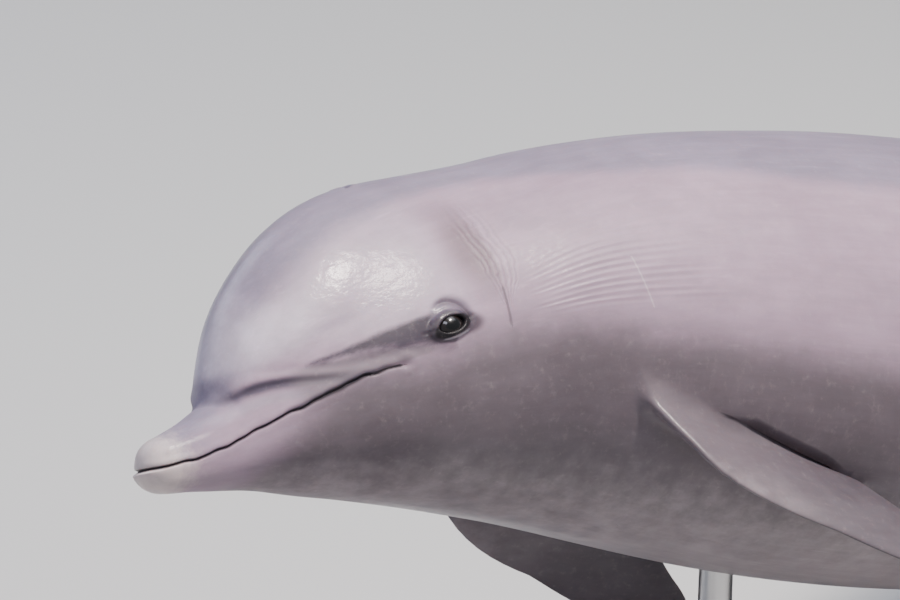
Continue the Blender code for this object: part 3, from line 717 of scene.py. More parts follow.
def put(mesh, name, values):
    values = np.asarray(values, np.float32)
    if name == "co":
        mesh.vertices.foreach_set("co", values.ravel())
        mesh.update()
        return
    wide = values.ndim > 1
    kind = "FLOAT_VECTOR" if wide else "FLOAT"
    found = mesh.attributes.get(name) or mesh.attributes.new(name, kind, "POINT")
    found.data.foreach_set("vector" if wide else "value", values.ravel())


mesh = skin.data
place = get(mesh, "co", 3)
ring, line = place[:, 0], place[:, 1]
x = station(ring)
th = angle(line, x)
ends = np.empty(len(mesh.edges) * 2, np.int32)
mesh.edges.foreach_get("vertices", ends)
ends = ends.reshape(-1, 2)

# the patch that a vertex is in, and there its shares round the opening and of the fin's chord, and its face
group, turned, chord_share, face_side = np.zeros((4, len(x)))


def squared(box, step, share=1.0):
    """The box with its edges on the pattern's lines, an even number of them across a share of its width."""
    r0, r1, l0, l1 = box
    half = max(round((l1 - l0) * share / 2 / step), 1) * step
    middle = round((l0 + l1) / 2 / step) * step
    return round(r0 / step) * step, round(r1 / step) * step, middle - half, middle + half


def lay_patch(number, box, step, mirrored=False):
    """Marks a patch and returns its rim, whose vertices get their turn round it from the front, 0 to 1."""
    r0, r1, l0, l1 = box
    own_line = LINES - line if mirrored else line
    eps = step / 8
    inside = (ring > r0 - eps) & (ring < r1 + eps) & (own_line > l0 - eps) & (own_line < l1 + eps)
    index = np.nonzero(inside)[0]
    a = (ring[index] - r0) / step
    b = (own_line[index] - l0) / step
    n, m = round((r1 - r0) / step), round((l1 - l0) / step)
    total = 2 * (n + m)
    count = np.full(len(index), -1.0)
    front, top, rear, low = np.abs(a) < 0.1, np.abs(b - m) < 0.1, np.abs(a - n) < 0.1, np.abs(b) < 0.1
    count = np.where(low, total - m / 2 - a, count)
    count = np.where(rear, m / 2 + n + (m - b), count)
    count = np.where(top, m / 2 + a, count)
    count = np.where(front, np.where(b >= m / 2, b - m / 2, total - m / 2 + b), count)
    on_rim = count >= 0
    turn_share = np.where(on_rim, count / total, 0)
    phi = 2 * math.pi * turn_share
    t = (1 - np.cos(phi)) / 2
    w = np.where(phi <= math.pi, 1.0, -1.0)
    column = 2 * math.pi * (m / 2 + a) / total
    t = np.where(on_rim, t, (1 - np.cos(column)) / 2)
    w = np.where(on_rim, w, 2 * b / m - 1)
    group[index] = number
    chord_share[index] = t
    face_side[index] = w
    turned[index] = np.where(on_rim, turn_share, -1)
    return index[on_rim]


def relax(fixed, new_x, new_th, reach, rounds=300):
    """Moves the fixed vertices to new places on the body and lets their neighbours follow."""
    global x, th
    middle = [(new_x.min() + new_x.max()) / 2, (new_th.min() + new_th.max()) / 2]
    r = float(radius(np.float64(middle[0]), np.float64(middle[1])))
    away = np.hypot((x - middle[0]) / reach[0], (th - middle[1]) * r / reach[1])
    free = np.nonzero(away < 1)[0]
    local = np.full(len(x), -1)
    local[free] = np.arange(len(free))
    pairs = local[ends]
    pairs = pairs[(pairs >= 0).all(1)]
    move = np.zeros((len(free), 2))
    held = local[fixed]
    target = np.stack([new_x - x[fixed], new_th - th[fixed]], -1)
    far = (away[free] > 0.92) | (ring[free] > RINGS - 1.5)
    if abs(math.cos(middle[1])) > 0.1:
        far = far | (np.abs(np.cos(th[free])) < 0.01)
    degree = np.bincount(pairs.ravel(), minlength=len(free))[:, None]
    a, b = pairs.T
    for _ in range(rounds):
        move[held] = target
        move[far] = 0
        total = [np.bincount(a, m[b], len(free)) + np.bincount(b, m[a], len(free)) for m in move.T]
        move = np.stack(total, -1) / np.maximum(degree, 1)
    move[held] = target
    move[far] = 0
    x[free] += move[:, 0]
    th[free] += move[:, 1]


# ---- openings and fins laid out on the sheet ----
def outline_place(blade, phi, grow, rear_grow):
    t = (1 - np.cos(phi)) / 2
    w = np.where(phi <= math.pi, 1.0, -1.0)
    s = crossing(blade, t, w, 0.0, grow, rear_grow)
    return station_angle(fin_point(blade, s, t, w, grow + 0 * t, rear_grow))


def w_sign(blade):
    """1 where the fin's own thickness runs the same way as the lines of the sheet."""
    s = np.array([0.05])
    centre = fin_point(blade, s, np.array([0.5]), np.array([0.0]))
    over = fin_point(blade, s, np.array([0.5]), np.array([1.0]))
    return 1.0 if station_angle(over)[1][0] > station_angle(centre)[1][0] else -1.0


BOTH = (False, True)  # whether mirrored
# rear is how much the fillet widens the rear edge, and hold the x at which the blade stays stiff in the pose
FINS = {
    "flipper": dict(blade=flipper, fillet=0.016, rear=1.0, hold=FLIPPER_X, sides=BOTH, reach=(0.28, 0.19)),
    "dorsal": dict(blade=dorsal, fillet=0.022, rear=1.0, hold=DORSAL_X, sides=(False,), reach=(0.36, 0.24)),
    "fluke": dict(blade=fluke, fillet=0.007, rear=0.0, hold=FLUKE_X, sides=BOTH, reach=(0.20, 0.12)),
}
patches = []


def lay_opening(name, outline, step, sides, reach, share=1.0, sign=1.0):
    """A patch on each side, with its rim moved onto the outline, which takes the turn round it in radians."""
    rings_there, lines_there = pattern_place(*outline(np.linspace(0, 2 * math.pi, 73)[:-1]))
    box = squared((rings_there.min(), rings_there.max(), lines_there.min(), lines_there.max()), step, share)
    for mirrored in sides:
        patches.append((name, mirrored))
        rim = lay_patch(len(patches), box, step, mirrored)
        new_x, new_th = outline(sign * 2 * math.pi * turned[rim] % (2 * math.pi))
        relax(rim, new_x, math.pi - new_th if mirrored else new_th, reach)


for name, fin in FINS.items():
    fin["sign"] = w_sign(fin["blade"])
    lay_opening(
        name,
        lambda phi: outline_place(fin["blade"], phi, fin["fillet"], fin["rear"]),
        1,
        fin["sides"],
        fin["reach"],
        0.6 if name == "flipper" else 1.0,
        fin["sign"],
    )


def lid_opening(phi):
    """Edge of the eye's opening, back and up from its middle."""
    u = -LID_HALF * np.cos(phi)
    v = np.where(np.sin(phi) > 0, LID_UP, LID_DOWN) * np.sign(np.sin(phi)) * np.abs(np.sin(phi)) ** 1.15
    return u, v


def lid_rim(phi, out_by=0.0022):
    """Section x and angle of the skin's edge round the left eye, out_by outside the opening."""
    u, v = lid_opening(phi)
    far = np.hypot(u, v)
    u, v = u * (1 + out_by / far), v * (1 + out_by / far)
    height = np.full(u.shape, 0.012)
    for _ in range(6):
        at_x, at_th = station_angle(EYE_CENTRE + from_eye(u, v, height))
        height = (bare(at_x, at_th) - EYE_CENTRE) @ EYE_AXES[2]
    return at_x, at_th


lay_opening("eye", lid_rim, 0.25, BOTH, (0.06, 0.06))
put(mesh, "co", skin_point(x, th))
PATCH_LAYERS = dict(patch=group, chord_share=chord_share, face_side=face_side, turned=turned)
FIN_LAYERS = dict.fromkeys(("hold", "held_at", "out_share", "lid"), 0 * x)
LAYERS = PATCH_LAYERS | FIN_LAYERS
for name, values in LAYERS.items():
    put(mesh, name, values)
edit(skin)
bpy.ops.mesh.select_all(action="SELECT")
bpy.ops.mesh.remove_doubles(threshold=MERGE)
bpy.ops.mesh.normals_make_consistent(inside=False)


def grow_rings(number, mirrored, steps, shape):
    """Extrudes patch number once for each step and sets each new ring, and in the end the cap, with shape."""
    sheet = bmesh.from_edit_mesh(mesh)
    patch = sheet.verts.layers.float["patch"]
    bpy.ops.mesh.select_mode(type="FACE")
    bpy.ops.mesh.select_all(action="DESELECT")
    for face in sheet.faces:
        if all(v[patch] == number for v in face.verts):
            face.select_set(True)
    for k in range(steps):
        bpy.ops.mesh.extrude_region_move()
        sheet = bmesh.from_edit_mesh(mesh)
        layers = {name: sheet.verts.layers.float[name] for name in LAYERS}
        moved = [v for v in sheet.verts if v.select]
        marks = [np.array([v[layers[name]] for v in moved]) for name in ("chord_share", "face_side", "turned")]
        points, extra = shape(k, *marks)
        for v, p in zip(moved, points * [1, -1 if mirrored else 1, 1]):
            v.co = p
        for name, values in extra.items():
            for v, value in zip(moved, values):
                v[layers[name]] = value
    bmesh.update_edit_mesh(mesh)


FILLET_STEPS, BLADE_STEPS = 7, 30


def grow_fin(number, name, mirrored):
    fin = FINS[name]
    blade, fillet, rear = fin["blade"], fin["fillet"], fin["rear"]

    def shape(k, t, w, turn_share):
        w = w * fin["sign"]
        turn_k = min((k + 1) / FILLET_STEPS, 1) * math.pi / 2
        height = fillet * (1 - math.cos(turn_k))
        grow = fillet * (1 - math.sin(turn_k))
        root = crossing(blade, t, np.sign(w + 1e-9), height, grow, rear)
        way_out = max(k + 1 - FILLET_STEPS, 0) / BLADE_STEPS
        s = root + (1 - root) * (1 - (1 - way_out) ** 1.5)  # rings closer towards the tip
        marks = {"hold": rise(0.0, 0.22, s), "held_at": 0 * s + fin["hold"], "out_share": np.clip(s, 0.001, 1)}
        return fin_point(blade, s, t, w, grow + 0 * t, rear), marks

    grow_rings(number, mirrored, FILLET_STEPS + BLADE_STEPS, shape)


LID_STEPS, SOCKET_STEPS = 6, 8
LID_CLEAR, SOCKET_CLEAR = 0.00015, 0.0008


def grow_lids(number, mirrored):
    """Rolls the skin's edge over onto the ball, then back round it as a socket."""

    def shape(k, t, w, turn_share):
        inner = turn_share < 0
        phi = np.where(inner, np.arctan2(w * 0.6, 1 - 2 * t), 2 * math.pi * turn_share)
        u, v = lid_opening(phi)
        depth = np.sqrt(np.maximum(1 - oval(u, v, EYE_RADIUS * EYE_WIDE, EYE_RADIUS) ** 2, 0)) * EYE_RADIUS
        touch = from_eye(u, v, depth + LID_CLEAR)
        if k < LID_STEPS:
            way = skin_point(*lid_rim(phi)) - EYE_CENTRE - touch
            b = (k + 1) / LID_STEPS * math.pi / 2
            lift = np.outer(way @ EYE_AXES[2], EYE_AXES[2])
            points = touch + (way - lift) * (1 - math.sin(b)) + lift * math.cos(b)
        else:
            share = (k + 1 - LID_STEPS) / SOCKET_STEPS
            start_polar = np.arctan2(np.hypot(u, v), depth + LID_CLEAR)
            polar = start_polar + (math.pi - 0.02 - start_polar) * share
            polar = np.where(inner, math.pi - 0.02 * np.clip(np.hypot(1 - 2 * t, w * 0.6), 0, 0.9), polar)
            gap = EYE_RADIUS + SOCKET_CLEAR
            across, spin = gap * np.sin(polar), np.arctan2(v, u)
            points = from_eye(EYE_WIDE * across * np.cos(spin), across * np.sin(spin), gap * np.cos(polar))
        return points + EYE_CENTRE, {"lid": 0 * t + min((k + 1) / LID_STEPS, 1)}

    grow_rings(number, mirrored, LID_STEPS + SOCKET_STEPS, shape)


for number, (name, mirrored) in enumerate(patches, 1):
    if name == "eye":
        grow_lids(number, mirrored)
    else:
        grow_fin(number, name, mirrored)
bpy.ops.mesh.select_all(action="SELECT")
bpy.ops.mesh.faces_shade_smooth()
object_mode()

# ---- fields that the skin's colours follow, in the straight body's metres ----
mesh = skin.data
straight = get(mesh, "co", 3)
put(mesh, "straight", straight)
sided = left(straight)
hx, hy, hz = sided.T
out_share = get(mesh, "out_share")
lid = get(mesh, "lid")
on_body = out_share < 0.02
eye_u, eye_v, _ = eye_place(straight)
eye_ring, eye_turn = fold_ring(eye_u, eye_v)

CAPE_WIDE = spline((0.10, 0.030), (0.134, 0.037), (0.17, 0.0445), (0.227, 0.0525), (0.30, 0.0587),
                   (0.393, 0.0606), (0.454, 0.066), (0.50, 0.082), (0.573, 0.111), (0.677, 0.134),
                   (0.784, 0.156), (1.0, 0.165), (1.3, 0.150), (1.6, 0.115), (1.9, 0.070), (2.2, 0.045),
                   (2.5, 0.040))
STRIPE_TOP = spline((0.12, 0.055), (0.181, 0.0565), (0.207, 0.061), (0.239, 0.0655), (0.276, 0.070),
                    (0.304, 0.073), (0.34, 0.075))
STRIPE_LOW = spline((0.12, 0.055), (0.181, 0.0560), (0.205, 0.0545), (0.233, 0.053), (0.268, 0.051),
                    (0.293, 0.047), (0.313, 0.042), (0.34, 0.040))
# where a darker band of painted reflection runs across the lower melon
MELON_REFLECTION_LINE = spline((0.16, 0.076), (0.176, 0.080), (0.208, 0.0868), (0.242, 0.0934), (0.281, 0.0987),
                    (0.33, 0.105))
SHADED_BELOW = spline((0, -0.03), (0.10, -0.030), (0.15, 0.006), (0.20, 0.042), (0.30, 0.042), (0.36, 0.048),
                      (0.42, 0.050), (0.50, 0.037), (0.7, 0.010), (1.0, 0.0), (1.6, 0.02), (2.46, 0.07))
PALE_BELOW = spline((0, -0.022), (0.10, -0.036), (0.30, -0.078), (0.5, -0.125), (0.8, -0.160), (1.2, -0.150),
                    (1.6, -0.100), (2.0, -0.020), (2.46, 0.060))


def line_field(away, share, steep=200):
    """Distance from a line, made to grow quickly where its share drops, so that the line thins out there."""
    return away * (1 + steep * (1 - share))


fan = (hx - 0.399 + 0.006 * rise(0.10, 0.17, hz)) / (0.003 + 0.026 * rise(0.046, 0.115, hz))
scar_ends = between(0.030, 0.101, hz, 0.008) * (straight[:, 1] < 0)
eye_tilt = 0.12 * np.minimum(eye_u, 0) - 0.20 * np.maximum(eye_u, 0)
low_arch = eye_v + 0.0126 - 8 * eye_u**2
at_lips = np.maximum(lid, (1 - rise(0.26, 0.32, hx)) * (1 - rise(0.046, 0.060, hz)) * rise(0.02, 0.06, hx))
over_mouth, has_mouth = mouth_cut(sided), mouth_share(sided)
stripe = np.minimum((hz - STRIPE_LOW(hx)) * 0.45, STRIPE_TOP(hx) - hz)
stripe_ends = 0.02 * (1 - between(0.175, 0.338, hx, 0.008)) + 0.0012 * (1 - rise(0.19, 0.29, hx))
under_stripe = rise(-0.004, 0.004, STRIPE_LOW(hx) - hz)
mouth_wide = 1 + hump(hx - 0.205, 0.030)
low_side = np.abs(hz) < 0.06
fields = {
    "cape": np.where(hz > LEVEL(hx), CAPE_WIDE(hx) + hy, -0.2),
    "stripe": stripe - stripe_ends,
    "shaded": SHADED_BELOW(hx) - hz,
    "pale": PALE_BELOW(hx) - hz,
    # painted light: the melon's top made lighter, where it is lit
    "melon": between(0.13, 0.36, hx, 0.05) * rise(0.045, 0.09, hz),
    # the forehead's bluish tone, lightened as a painted sheen of the sky
    "painted_brow_sheen": (1 - rise(0.125, 0.19, hx)) * rise(0.058, 0.080, hz),
    # painted shade: a darker pink patch in the shallow hollow behind the eye, where shade falls
    "painted_nape_shade": hump(oval(hx - 0.397, hz - 0.125, 0.034, 0.052), 1.0) * (1 - rise(0.404, 0.424, hx)),
    # painted reflection: a soft darker band along the lower melon
    "painted_melon_reflection": hump(hz - MELON_REFLECTION_LINE(hx), 0.0046) * between(0.175, 0.300, hx, 0.03),
    # pale beak tip: worn skin, with painted water glints
    "tip": 1 - rise(0.012, 0.080, hx + 0.25 * np.abs(hz + 0.006)),
    "eye_patch": 1 - rise(0.90, 1.65, oval(eye_u - 0.002, eye_v - 0.0015 - eye_tilt, 0.0270, 0.0108)),
    "eye_dome": 1 - rise(0.75, 1.25, oval(eye_u - 0.005, eye_v - 0.008, 0.0240, 0.0215)),
    "eye_rim": 1 - rise(0.80, 1.10, oval(eye_u - 0.0004, eye_v + 0.0018 - 0.08 * eye_u, 0.0240, 0.0098)),
    # painted shade in the crease over the upper lid
    "painted_lid_crease_shade": hump(eye_ring - 1.03, 0.20) * lid_crease(eye_turn) * on_body,
    # painted highlight: a pale line along the ridge of the lower lid
    "painted_lower_lid_highlight": hump(low_arch, 0.0014) * between(-0.016, 0.018, eye_u, 0.006) * on_body,
    # painted shade in the groove between melon and beak
    "painted_groove_shade": hump(hz - LIP_LINE(hx) - 0.0005, 0.0072) * between(0.110, 0.225, hx, 0.025) * on_body,
    "lip_light": hump(hz - LIP_LINE(hx) + 0.0125, 0.0060) * between(0.075, 0.185, hx, 0.03) * on_body,
    # the line ends at the corner of the mouth, and is wider halfway along the cheek
    "mouth_line": np.where(has_mouth * low_side > 0.12, line_field(over_mouth / mouth_wide, has_mouth, 12), 1),
    "scar": line_field(hx + 0.174 * hz - 0.5674, scar_ends),
    # painted shade: a dark line in the neck's short crease
    "painted_neck_crease_shade": line_field(hx - 0.3985 - 0.16 * (hz - 0.046), between(0.036, 0.088, hz, 0.006)),
    # the nape's fine lines, whose light and dark stripes are painted light and shade
    "fan": fan,
    "fan_share": between(-0.1, 1.15, fan, 0.25) * between(0.058, 0.158, hz, 0.022) * on_body,
    # painted shade: the band between the mouth and the eye stripe darkened as if shaded under water
    "painted_cheek_shade": rise(0.001, 0.006, over_mouth) * under_stripe * between(0.165, 0.31, hx, 0.025),
    # painted shadow that the upper lip casts just above the mouth line
    "painted_lip_shadow": hump(over_mouth - 0.0026, 0.0030) * between(0.150, 0.262, hx, 0.02) * low_side,
    # painted sheen: a pale glow on the lower melon beside the highlight
    "painted_melon_sheen": hump(oval(hx - 0.175, hz - 0.100 - 0.35 * (hx - 0.175), 0.050, 0.026), 1.0),
    "matt": at_lips,
    "wet": 0.28 + 0.62 * between(0.13, 0.245, hx, 0.05) * rise(0.075, 0.100, hz) * (1 - lid) - 0.18 * at_lips,
}
for name, values in fields.items():
    put(mesh, name, np.where(np.isfinite(values), values, 0))

# ---- the pose ----
hold, held_at = get(mesh, "hold"), get(mesh, "held_at")
station_x = straight[:, 0]
put(mesh, "co", in_frame(straight, station_x + (held_at - station_x) * hold))


# ---- materials ----
def linear(hex_colour):
    """An sRGB hex colour as linear RGBA."""
    parts = [int(hex_colour[i : i + 2], 16) / 255 for i in (1, 3, 5)]
    return (*(c / 12.92 if c <= 0.04045 else ((c + 0.055) / 1.055) ** 2.4 for c in parts), 1)


def wire(tree, node, inputs):
    """Sets each input to a value, or links it where it is given another node's output."""
    for key, value in inputs.items():
        if isinstance(value, bpy.types.NodeSocket):
            tree.links.new(value, node.inputs[key])
        else:
            node.inputs[key].default_value = value


def add(tree, kind, output, inputs=None, **settings):
    """Adds a node with its settings and inputs, and returns one of its outputs."""
    made = tree.nodes.new("ShaderNode" + kind)
    for key, value in settings.items():
        setattr(made, key, value)
    wire(tree, made, inputs or {})
    return made.outputs[output]


def new_material(name):
    made = bpy.data.materials.new(name)
    made.use_nodes = True
    return made, made.node_tree, made.node_tree.nodes["Principled BSDF"]


def wet_skin():
    """Living dolphin hide, smooth as rubber and just out of the water. It is mauve grey, bluer along the back
    and dark round the eye. A film of water, thickest on the melon, puts a clear gloss over the hide's duller
    one, crumpled where it runs."""
    made, tree, shader = new_material("wet dolphin hide")
    place_on = add(tree, "Attribute", "Vector", attribute_name="straight")
    grain = {}
    for name, stretch, scale, detail, rough in (
        ("clouds", (1, 1, 1), 7, 2, 0.5),  # 140 mm clouds of tone
        ("patches", (1, 1, 1), 34, 4, 0.6),  # 30 mm mottling
        # the beak's pale tip is partly worn skin and partly painted glints of water
        ("wear_and_glint_blotches", (1, 1, 1), 110, 4, 0.7),  # 9 mm wear on the beak
        ("specks", (1, 1, 1), 420, 3, 0.7),  # 2.4 mm grain
        ("streaks", (1, 9, 9), 9, 5, 0.65),  # lengthwise streaks, 12 mm apart
        ("rakes", (0.16, 5, 5), 22, 2, 0.6),  # fine tooth-rake lines, 9 mm apart
        ("ripple", (1, 1.5, 1.5), 84, 3, 0.5),  # the film of water, crumpled 12 mm apart
    ):
        turned_to = add(tree, "Mapping", 0, {"Vector": place_on, "Scale": stretch})
        inputs = {"Vector": turned_to, "Scale": scale, "Detail": detail, "Roughness": rough}
        grain[name] = add(tree, "TexNoise", "Fac", inputs)

    colour = linear("#a58fa1")
    # each field, the grain that moves its edge and by how much, the edge's start and end, its share and colour
    for field, mover, wander, low, high, most, shade in (
        ("shaded", "patches", 0.04, -0.022, 0.044, 0.95, "#645c62"),
        ("pale", "patches", 0.06, -0.03, 0.06, 0.9, "#a59b9f"),
        # painted light on the melon's top
        ("melon", "patches", 0.2, 0.0, 1.0, 0.8, "#b3a3b4"),
        # painted shade in the hollow behind the eye
        ("painted_nape_shade", "patches", 0.2, 0.1, 1.0, 1.0, "#7f6b77"),
        # painted reflection band on the lower melon
        ("painted_melon_reflection", "patches", 0.2, 0.1, 1.0, 0.35, "#94879b"),
        ("cape", "patches", 0.020, -0.012, 0.010, 0.95, "#877e91"),
        # bluish forehead, lightened as a painted sky sheen
        ("painted_brow_sheen", "patches", 0.2, 0.0, 1.0, 0.65, "#b9afc0"),
        # painted sheen on the lower melon
        ("painted_melon_sheen", "patches", 0.2, 0.1, 1.0, 0.75, "#d0c5d4"),
        ("out_share", "patches", 0.1, 0.03, 0.55, 0.85, "#504a52"),
        ("lip_light", "patches", 0.2, 0.1, 1.0, 0.4, "#aaa3b2"),
        # painted shade in the groove under the melon
        ("painted_groove_shade", "patches", 0.2, 0.15, 0.95, 0.95, "#4c4655"),
        # painted shade over the cheek, between mouth and stripe
        ("painted_cheek_shade", "patches", 0.2, 0.1, 1.0, 0.7, "#746b72"),
        # painted shadow above the mouth line
        ("painted_lip_shadow", "patches", 0.2, 0.1, 1.0, 0.7, "#4a4450"),
        ("stripe", "streaks", 0.010, -0.0045, 0.0035, 1.0, "#3e3743"),
        ("eye_dome", "patches", 0.2, 0.0, 1.0, 0.78, "#62586a"),
        # painted shade in the crease over the upper lid
        ("painted_lid_crease_shade", "patches", 0.1, 0.1, 1.0, 0.6, "#5c515b"),
        ("eye_patch", "patches", 0.2, 0.0, 1.0, 0.85, "#38323a"),
        # painted highlight along the lower lid
        ("painted_lower_lid_highlight", "patches", 0.1, 0.2, 0.9, 0.5, "#a09aa3"),
        ("eye_rim", "patches", 0.1, 0.0, 0.8, 0.95, "#1a181b"),
        ("lid", "patches", 0.0, 0.15, 0.6, 1.0, "#1b191c"),
        # pale beak tip: worn skin, with painted water glints
        ("tip", "wear_and_glint_blotches", 0.9, 0.0, 0.95, 0.85, "#d3c6c4"),
        # lines have no grain, and a start and end on both sides
        ("mouth_line", None, 0, 0.0024, 0.0006, 0.95, "#2e292f"),
        # painted shade in the neck's crease
        ("painted_neck_crease_shade", None, 0, 0.0022, 0.0004, 0.75, "#665a62"),
        ("scar", None, 0, 0.0016, 0.0003, 0.45, "#cdc1c9"),
    ):
        edge = add(tree, "Attribute", "Fac", attribute_name=field)
        if mover:
            edge = add(tree, "Math", 0, {0: grain[mover], 1: wander, 2: edge}, operation="MULTIPLY_ADD")
        else:
            edge = add(tree, "Math", 0, {0: edge}, operation="ABSOLUTE")
        inputs = {"Value": edge, "From Min": low + wander / 2, "From Max": high + wander / 2, "To Max": most}
        share = add(tree, "MapRange", 0, inputs, interpolation_type="SMOOTHSTEP")
        colour = add(tree, "Mix", 2, {0: share, 6: colour, 7: linear(shade)}, data_type="RGBA")
    # the nape's fine lines fan out from the ear; their light and dark stripes are painted light and shade on the
    # fine ridges, besides the bump
    fan_way = add(tree, "Attribute", "Fac", attribute_name="fan")
    fan_share = add(tree, "Attribute", "Fac", attribute_name="fan_share")
    bend = add(tree, "Math", 0, {0: grain["patches"], 1: 0.7, 2: fan_way}, operation="MULTIPLY_ADD")
    turn_on = add(tree, "Math", 0, {0: bend, 1: 24}, operation="MULTIPLY")
    wave = add(tree, "Math", 0, {0: turn_on}, operation="SINE")
    grain["fan"] = add(tree, "Math", 0, {0: wave, 1: fan_share}, operation="MULTIPLY")
    # tones: the grain, its low and high values, how much each darkens or lightens, and its share
    for name, low, high, dark, light, most in (
        ("clouds", 0.3, 0.7, 0.84, 1.10, 0.5),
        ("patches", 0.3, 0.7, 0.88, 1.08, 0.5),
        ("streaks", 0.35, 0.65, 0.91, 1.06, 0.6),
        ("rakes", 0.63, 0.72, 1.0, 1.16, 0.5),
        ("specks", 0.60, 0.75, 1.0, 1.10, 0.4),
        # painted light and shade along the nape's fine lines
        ("fan", -1.0, 1.0, 0.87, 1.10, 0.8),
    ):
        ends = {"From Min": low, "From Max": high, "To Min": dark, "To Max": light}
        tone = add(tree, "MapRange", 0, {"Value": grain[name], **ends}, interpolation_type="SMOOTHSTEP")
        inputs = {0: most, 6: colour, 7: tone}
        colour = add(tree, "Mix", 2, inputs, data_type="RGBA", blend_type="MULTIPLY")

    gloss = {"Value": grain["patches"], "From Min": 0.3, "From Max": 0.7, "To Min": 0.38, "To Max": 0.50}
    dull = add(tree, "MapRange", 0, gloss)
    matt = add(tree, "Attribute", "Fac", attribute_name="matt")
    dull = add(tree, "Math", 0, {0: matt, 1: 0.32, 2: dull}, operation="MULTIPLY_ADD")
    normal = None
    bumps = (("specks", 0.10, 0.0006), ("streaks", 0.14, 0.0012), ("fan", 0.35, 0.0006))
    for name, strength, distance in bumps:
        inputs = {"Strength": strength, "Distance": distance, "Height": grain[name]}
        if normal:
            inputs["Normal"] = normal
        normal = add(tree, "Bump", 0, inputs)
    film = add(tree, "Bump", 0, {"Strength": 0.45, "Distance": 0.0013, "Height": grain["ripple"]})
    wetness = add(tree, "Attribute", "Fac", attribute_name="wet")
    # wet hide hardly mirrors by itself, as water's index is near its own, so most of the gloss is the film's
    inputs = {
        "Base Color": colour,
        "Roughness": dull,
        "Normal": normal,
        "IOR": 1.42,
        "Specular IOR Level": 0.28,
        "Coat Weight": wetness,
        "Coat Normal": film,
        "Coat Roughness": 0.20,
        "Coat IOR": 1.34,
        "Subsurface Weight": 0.08,
        "Subsurface Scale": 0.008,
    }
    wire(tree, shader, inputs)
    return made


def wet_eye():
    """The ball of the eye: a brown-black iris round a pupil drawn out sideways, under a clear wet cornea."""
    made, tree, shader = new_material("wet dark eye")
    gaze = add(tree, "Attribute", "Vector", attribute_name="gaze")
    fibres = add(tree, "TexNoise", "Fac", {"Vector": gaze, "Scale": 9, "Detail": 5, "Roughness": 0.7})
    inputs = {0: fibres, 6: linear("#120f0f"), 7: linear("#241c1a")}
    colour = add(tree, "Mix", 2, inputs, data_type="RGBA")
    for field, low, high, shade in (("white", 0.85, 1.10, "#1f1d21"), ("pupil", 1.10, 0.85, "#030304")):
        value = add(tree, "Attribute", "Fac", attribute_name=field)
        inputs = {"Value": value, "From Min": low, "From Max": high}
        share = add(tree, "MapRange", 0, inputs, interpolation_type="SMOOTHSTEP")
        colour = add(tree, "Mix", 2, {0: share, 6: colour, 7: linear(shade)}, data_type="RGBA")
    inputs = {"Base Color": colour, "Roughness": 0.25, "IOR": 1.38, "Coat Weight": 1.0, "Coat Roughness": 0.02}
    wire(tree, shader, inputs)
    return made


def painted_board():
    """Sprayed satin lacquer on fibreboard: an even charcoal, with fine orange-peel and some dust in the gloss."""
    made, tree, shader = new_material("satin charcoal lacquer on board")
    where = add(tree, "TexCoord", "Object")
    peel = add(tree, "TexNoise", "Fac", {"Vector": where, "Scale": 320, "Detail": 2})  # 3 mm peel
    haze = add(tree, "TexNoise", "Fac", {"Vector": where, "Scale": 6, "Detail": 5, "Roughness": 0.6})
    inputs = {0: haze, 6: linear("#3a3b3d"), 7: linear("#444547")}
    shade = add(tree, "Mix", 2, inputs, data_type="RGBA")
    gloss = add(tree, "MapRange", 0, {"Value": haze, "To Min": 0.34, "To Max": 0.48})
    bump = add(tree, "Bump", 0, {"Strength": 0.12, "Distance": 0.0004, "Height": peel})
    wire(tree, shader, {"Base Color": shade, "Roughness": gloss, "Normal": bump, "IOR": 1.5})
    return made


def brushed_steel():
    """Stainless bar and discs, brushed round and round: grey metal, with fine rings to break its highlight."""
    made, tree, shader = new_material("brushed stainless steel")
    where = add(tree, "TexCoord", "Object")
    rings = add(tree, "Mapping", 0, {"Vector": where, "Scale": (4, 4, 900)})
    brushed = add(tree, "TexNoise", "Fac", {"Vector": rings, "Scale": 1, "Detail": 3})
    smudge = add(tree, "TexNoise", "Fac", {"Vector": where, "Scale": 18, "Detail": 4})
    gloss = add(tree, "MapRange", 0, {"Value": smudge, "To Min": 0.24, "To Max": 0.38})
    bump = add(tree, "Bump", 0, {"Strength": 0.18, "Distance": 0.0002, "Height": brushed})
    wire(tree, shader, {"Base Color": linear("#c3c3c4"), "Metallic": 1, "Roughness": gloss, "Normal": bump})
    return made


def studio_floor():
    """A matt pale studio floor."""
    made, tree, shader = new_material("pale matt floor")
    wire(tree, shader, {"Base Color": linear("#d4d5d3"), "Roughness": 0.7})
    return made


# ---- eyes ----
def make_eye(name, mirrored):
    """The whole ball, with its low cornea turned outwards."""
    sphere = dict(segments=72, ring_count=48, radius=1, location=(0, 0, 0))
    ball = primitive(name, bpy.ops.mesh.primitive_uv_sphere_add, **sphere)
    way = get(ball.data, "co", 3)
    polar = np.arctan2(np.hypot(way[:, 0], way[:, 1]), way[:, 2])
    cornea = 0.0006 * (1 - rise(0.30, 0.72, polar))
    local = way * [EYE_RADIUS * EYE_WIDE, EYE_RADIUS, EYE_RADIUS] + way * cornea[:, None]
    p = EYE_CENTRE + local @ EYE_AXES
    behind = np.where(way[:, 2] < 0, 9.0, 0.0)
    put(ball.data, "gaze", way)
    put(ball.data, "pupil", np.hypot(way[:, 0] / 0.46, way[:, 1] / 0.34) + behind)
    put(ball.data, "white", np.hypot(way[:, 0] / 0.66, way[:, 1] / 0.62) + behind)
    put(ball.data, "co", in_frame(p * [1, -1 if mirrored else 1, 1]))
    edit(ball)
    bpy.ops.mesh.select_all(action="SELECT")
    bpy.ops.mesh.normals_make_consistent(inside=False)
    bpy.ops.mesh.faces_shade_smooth()
    object_mode()
    return ball


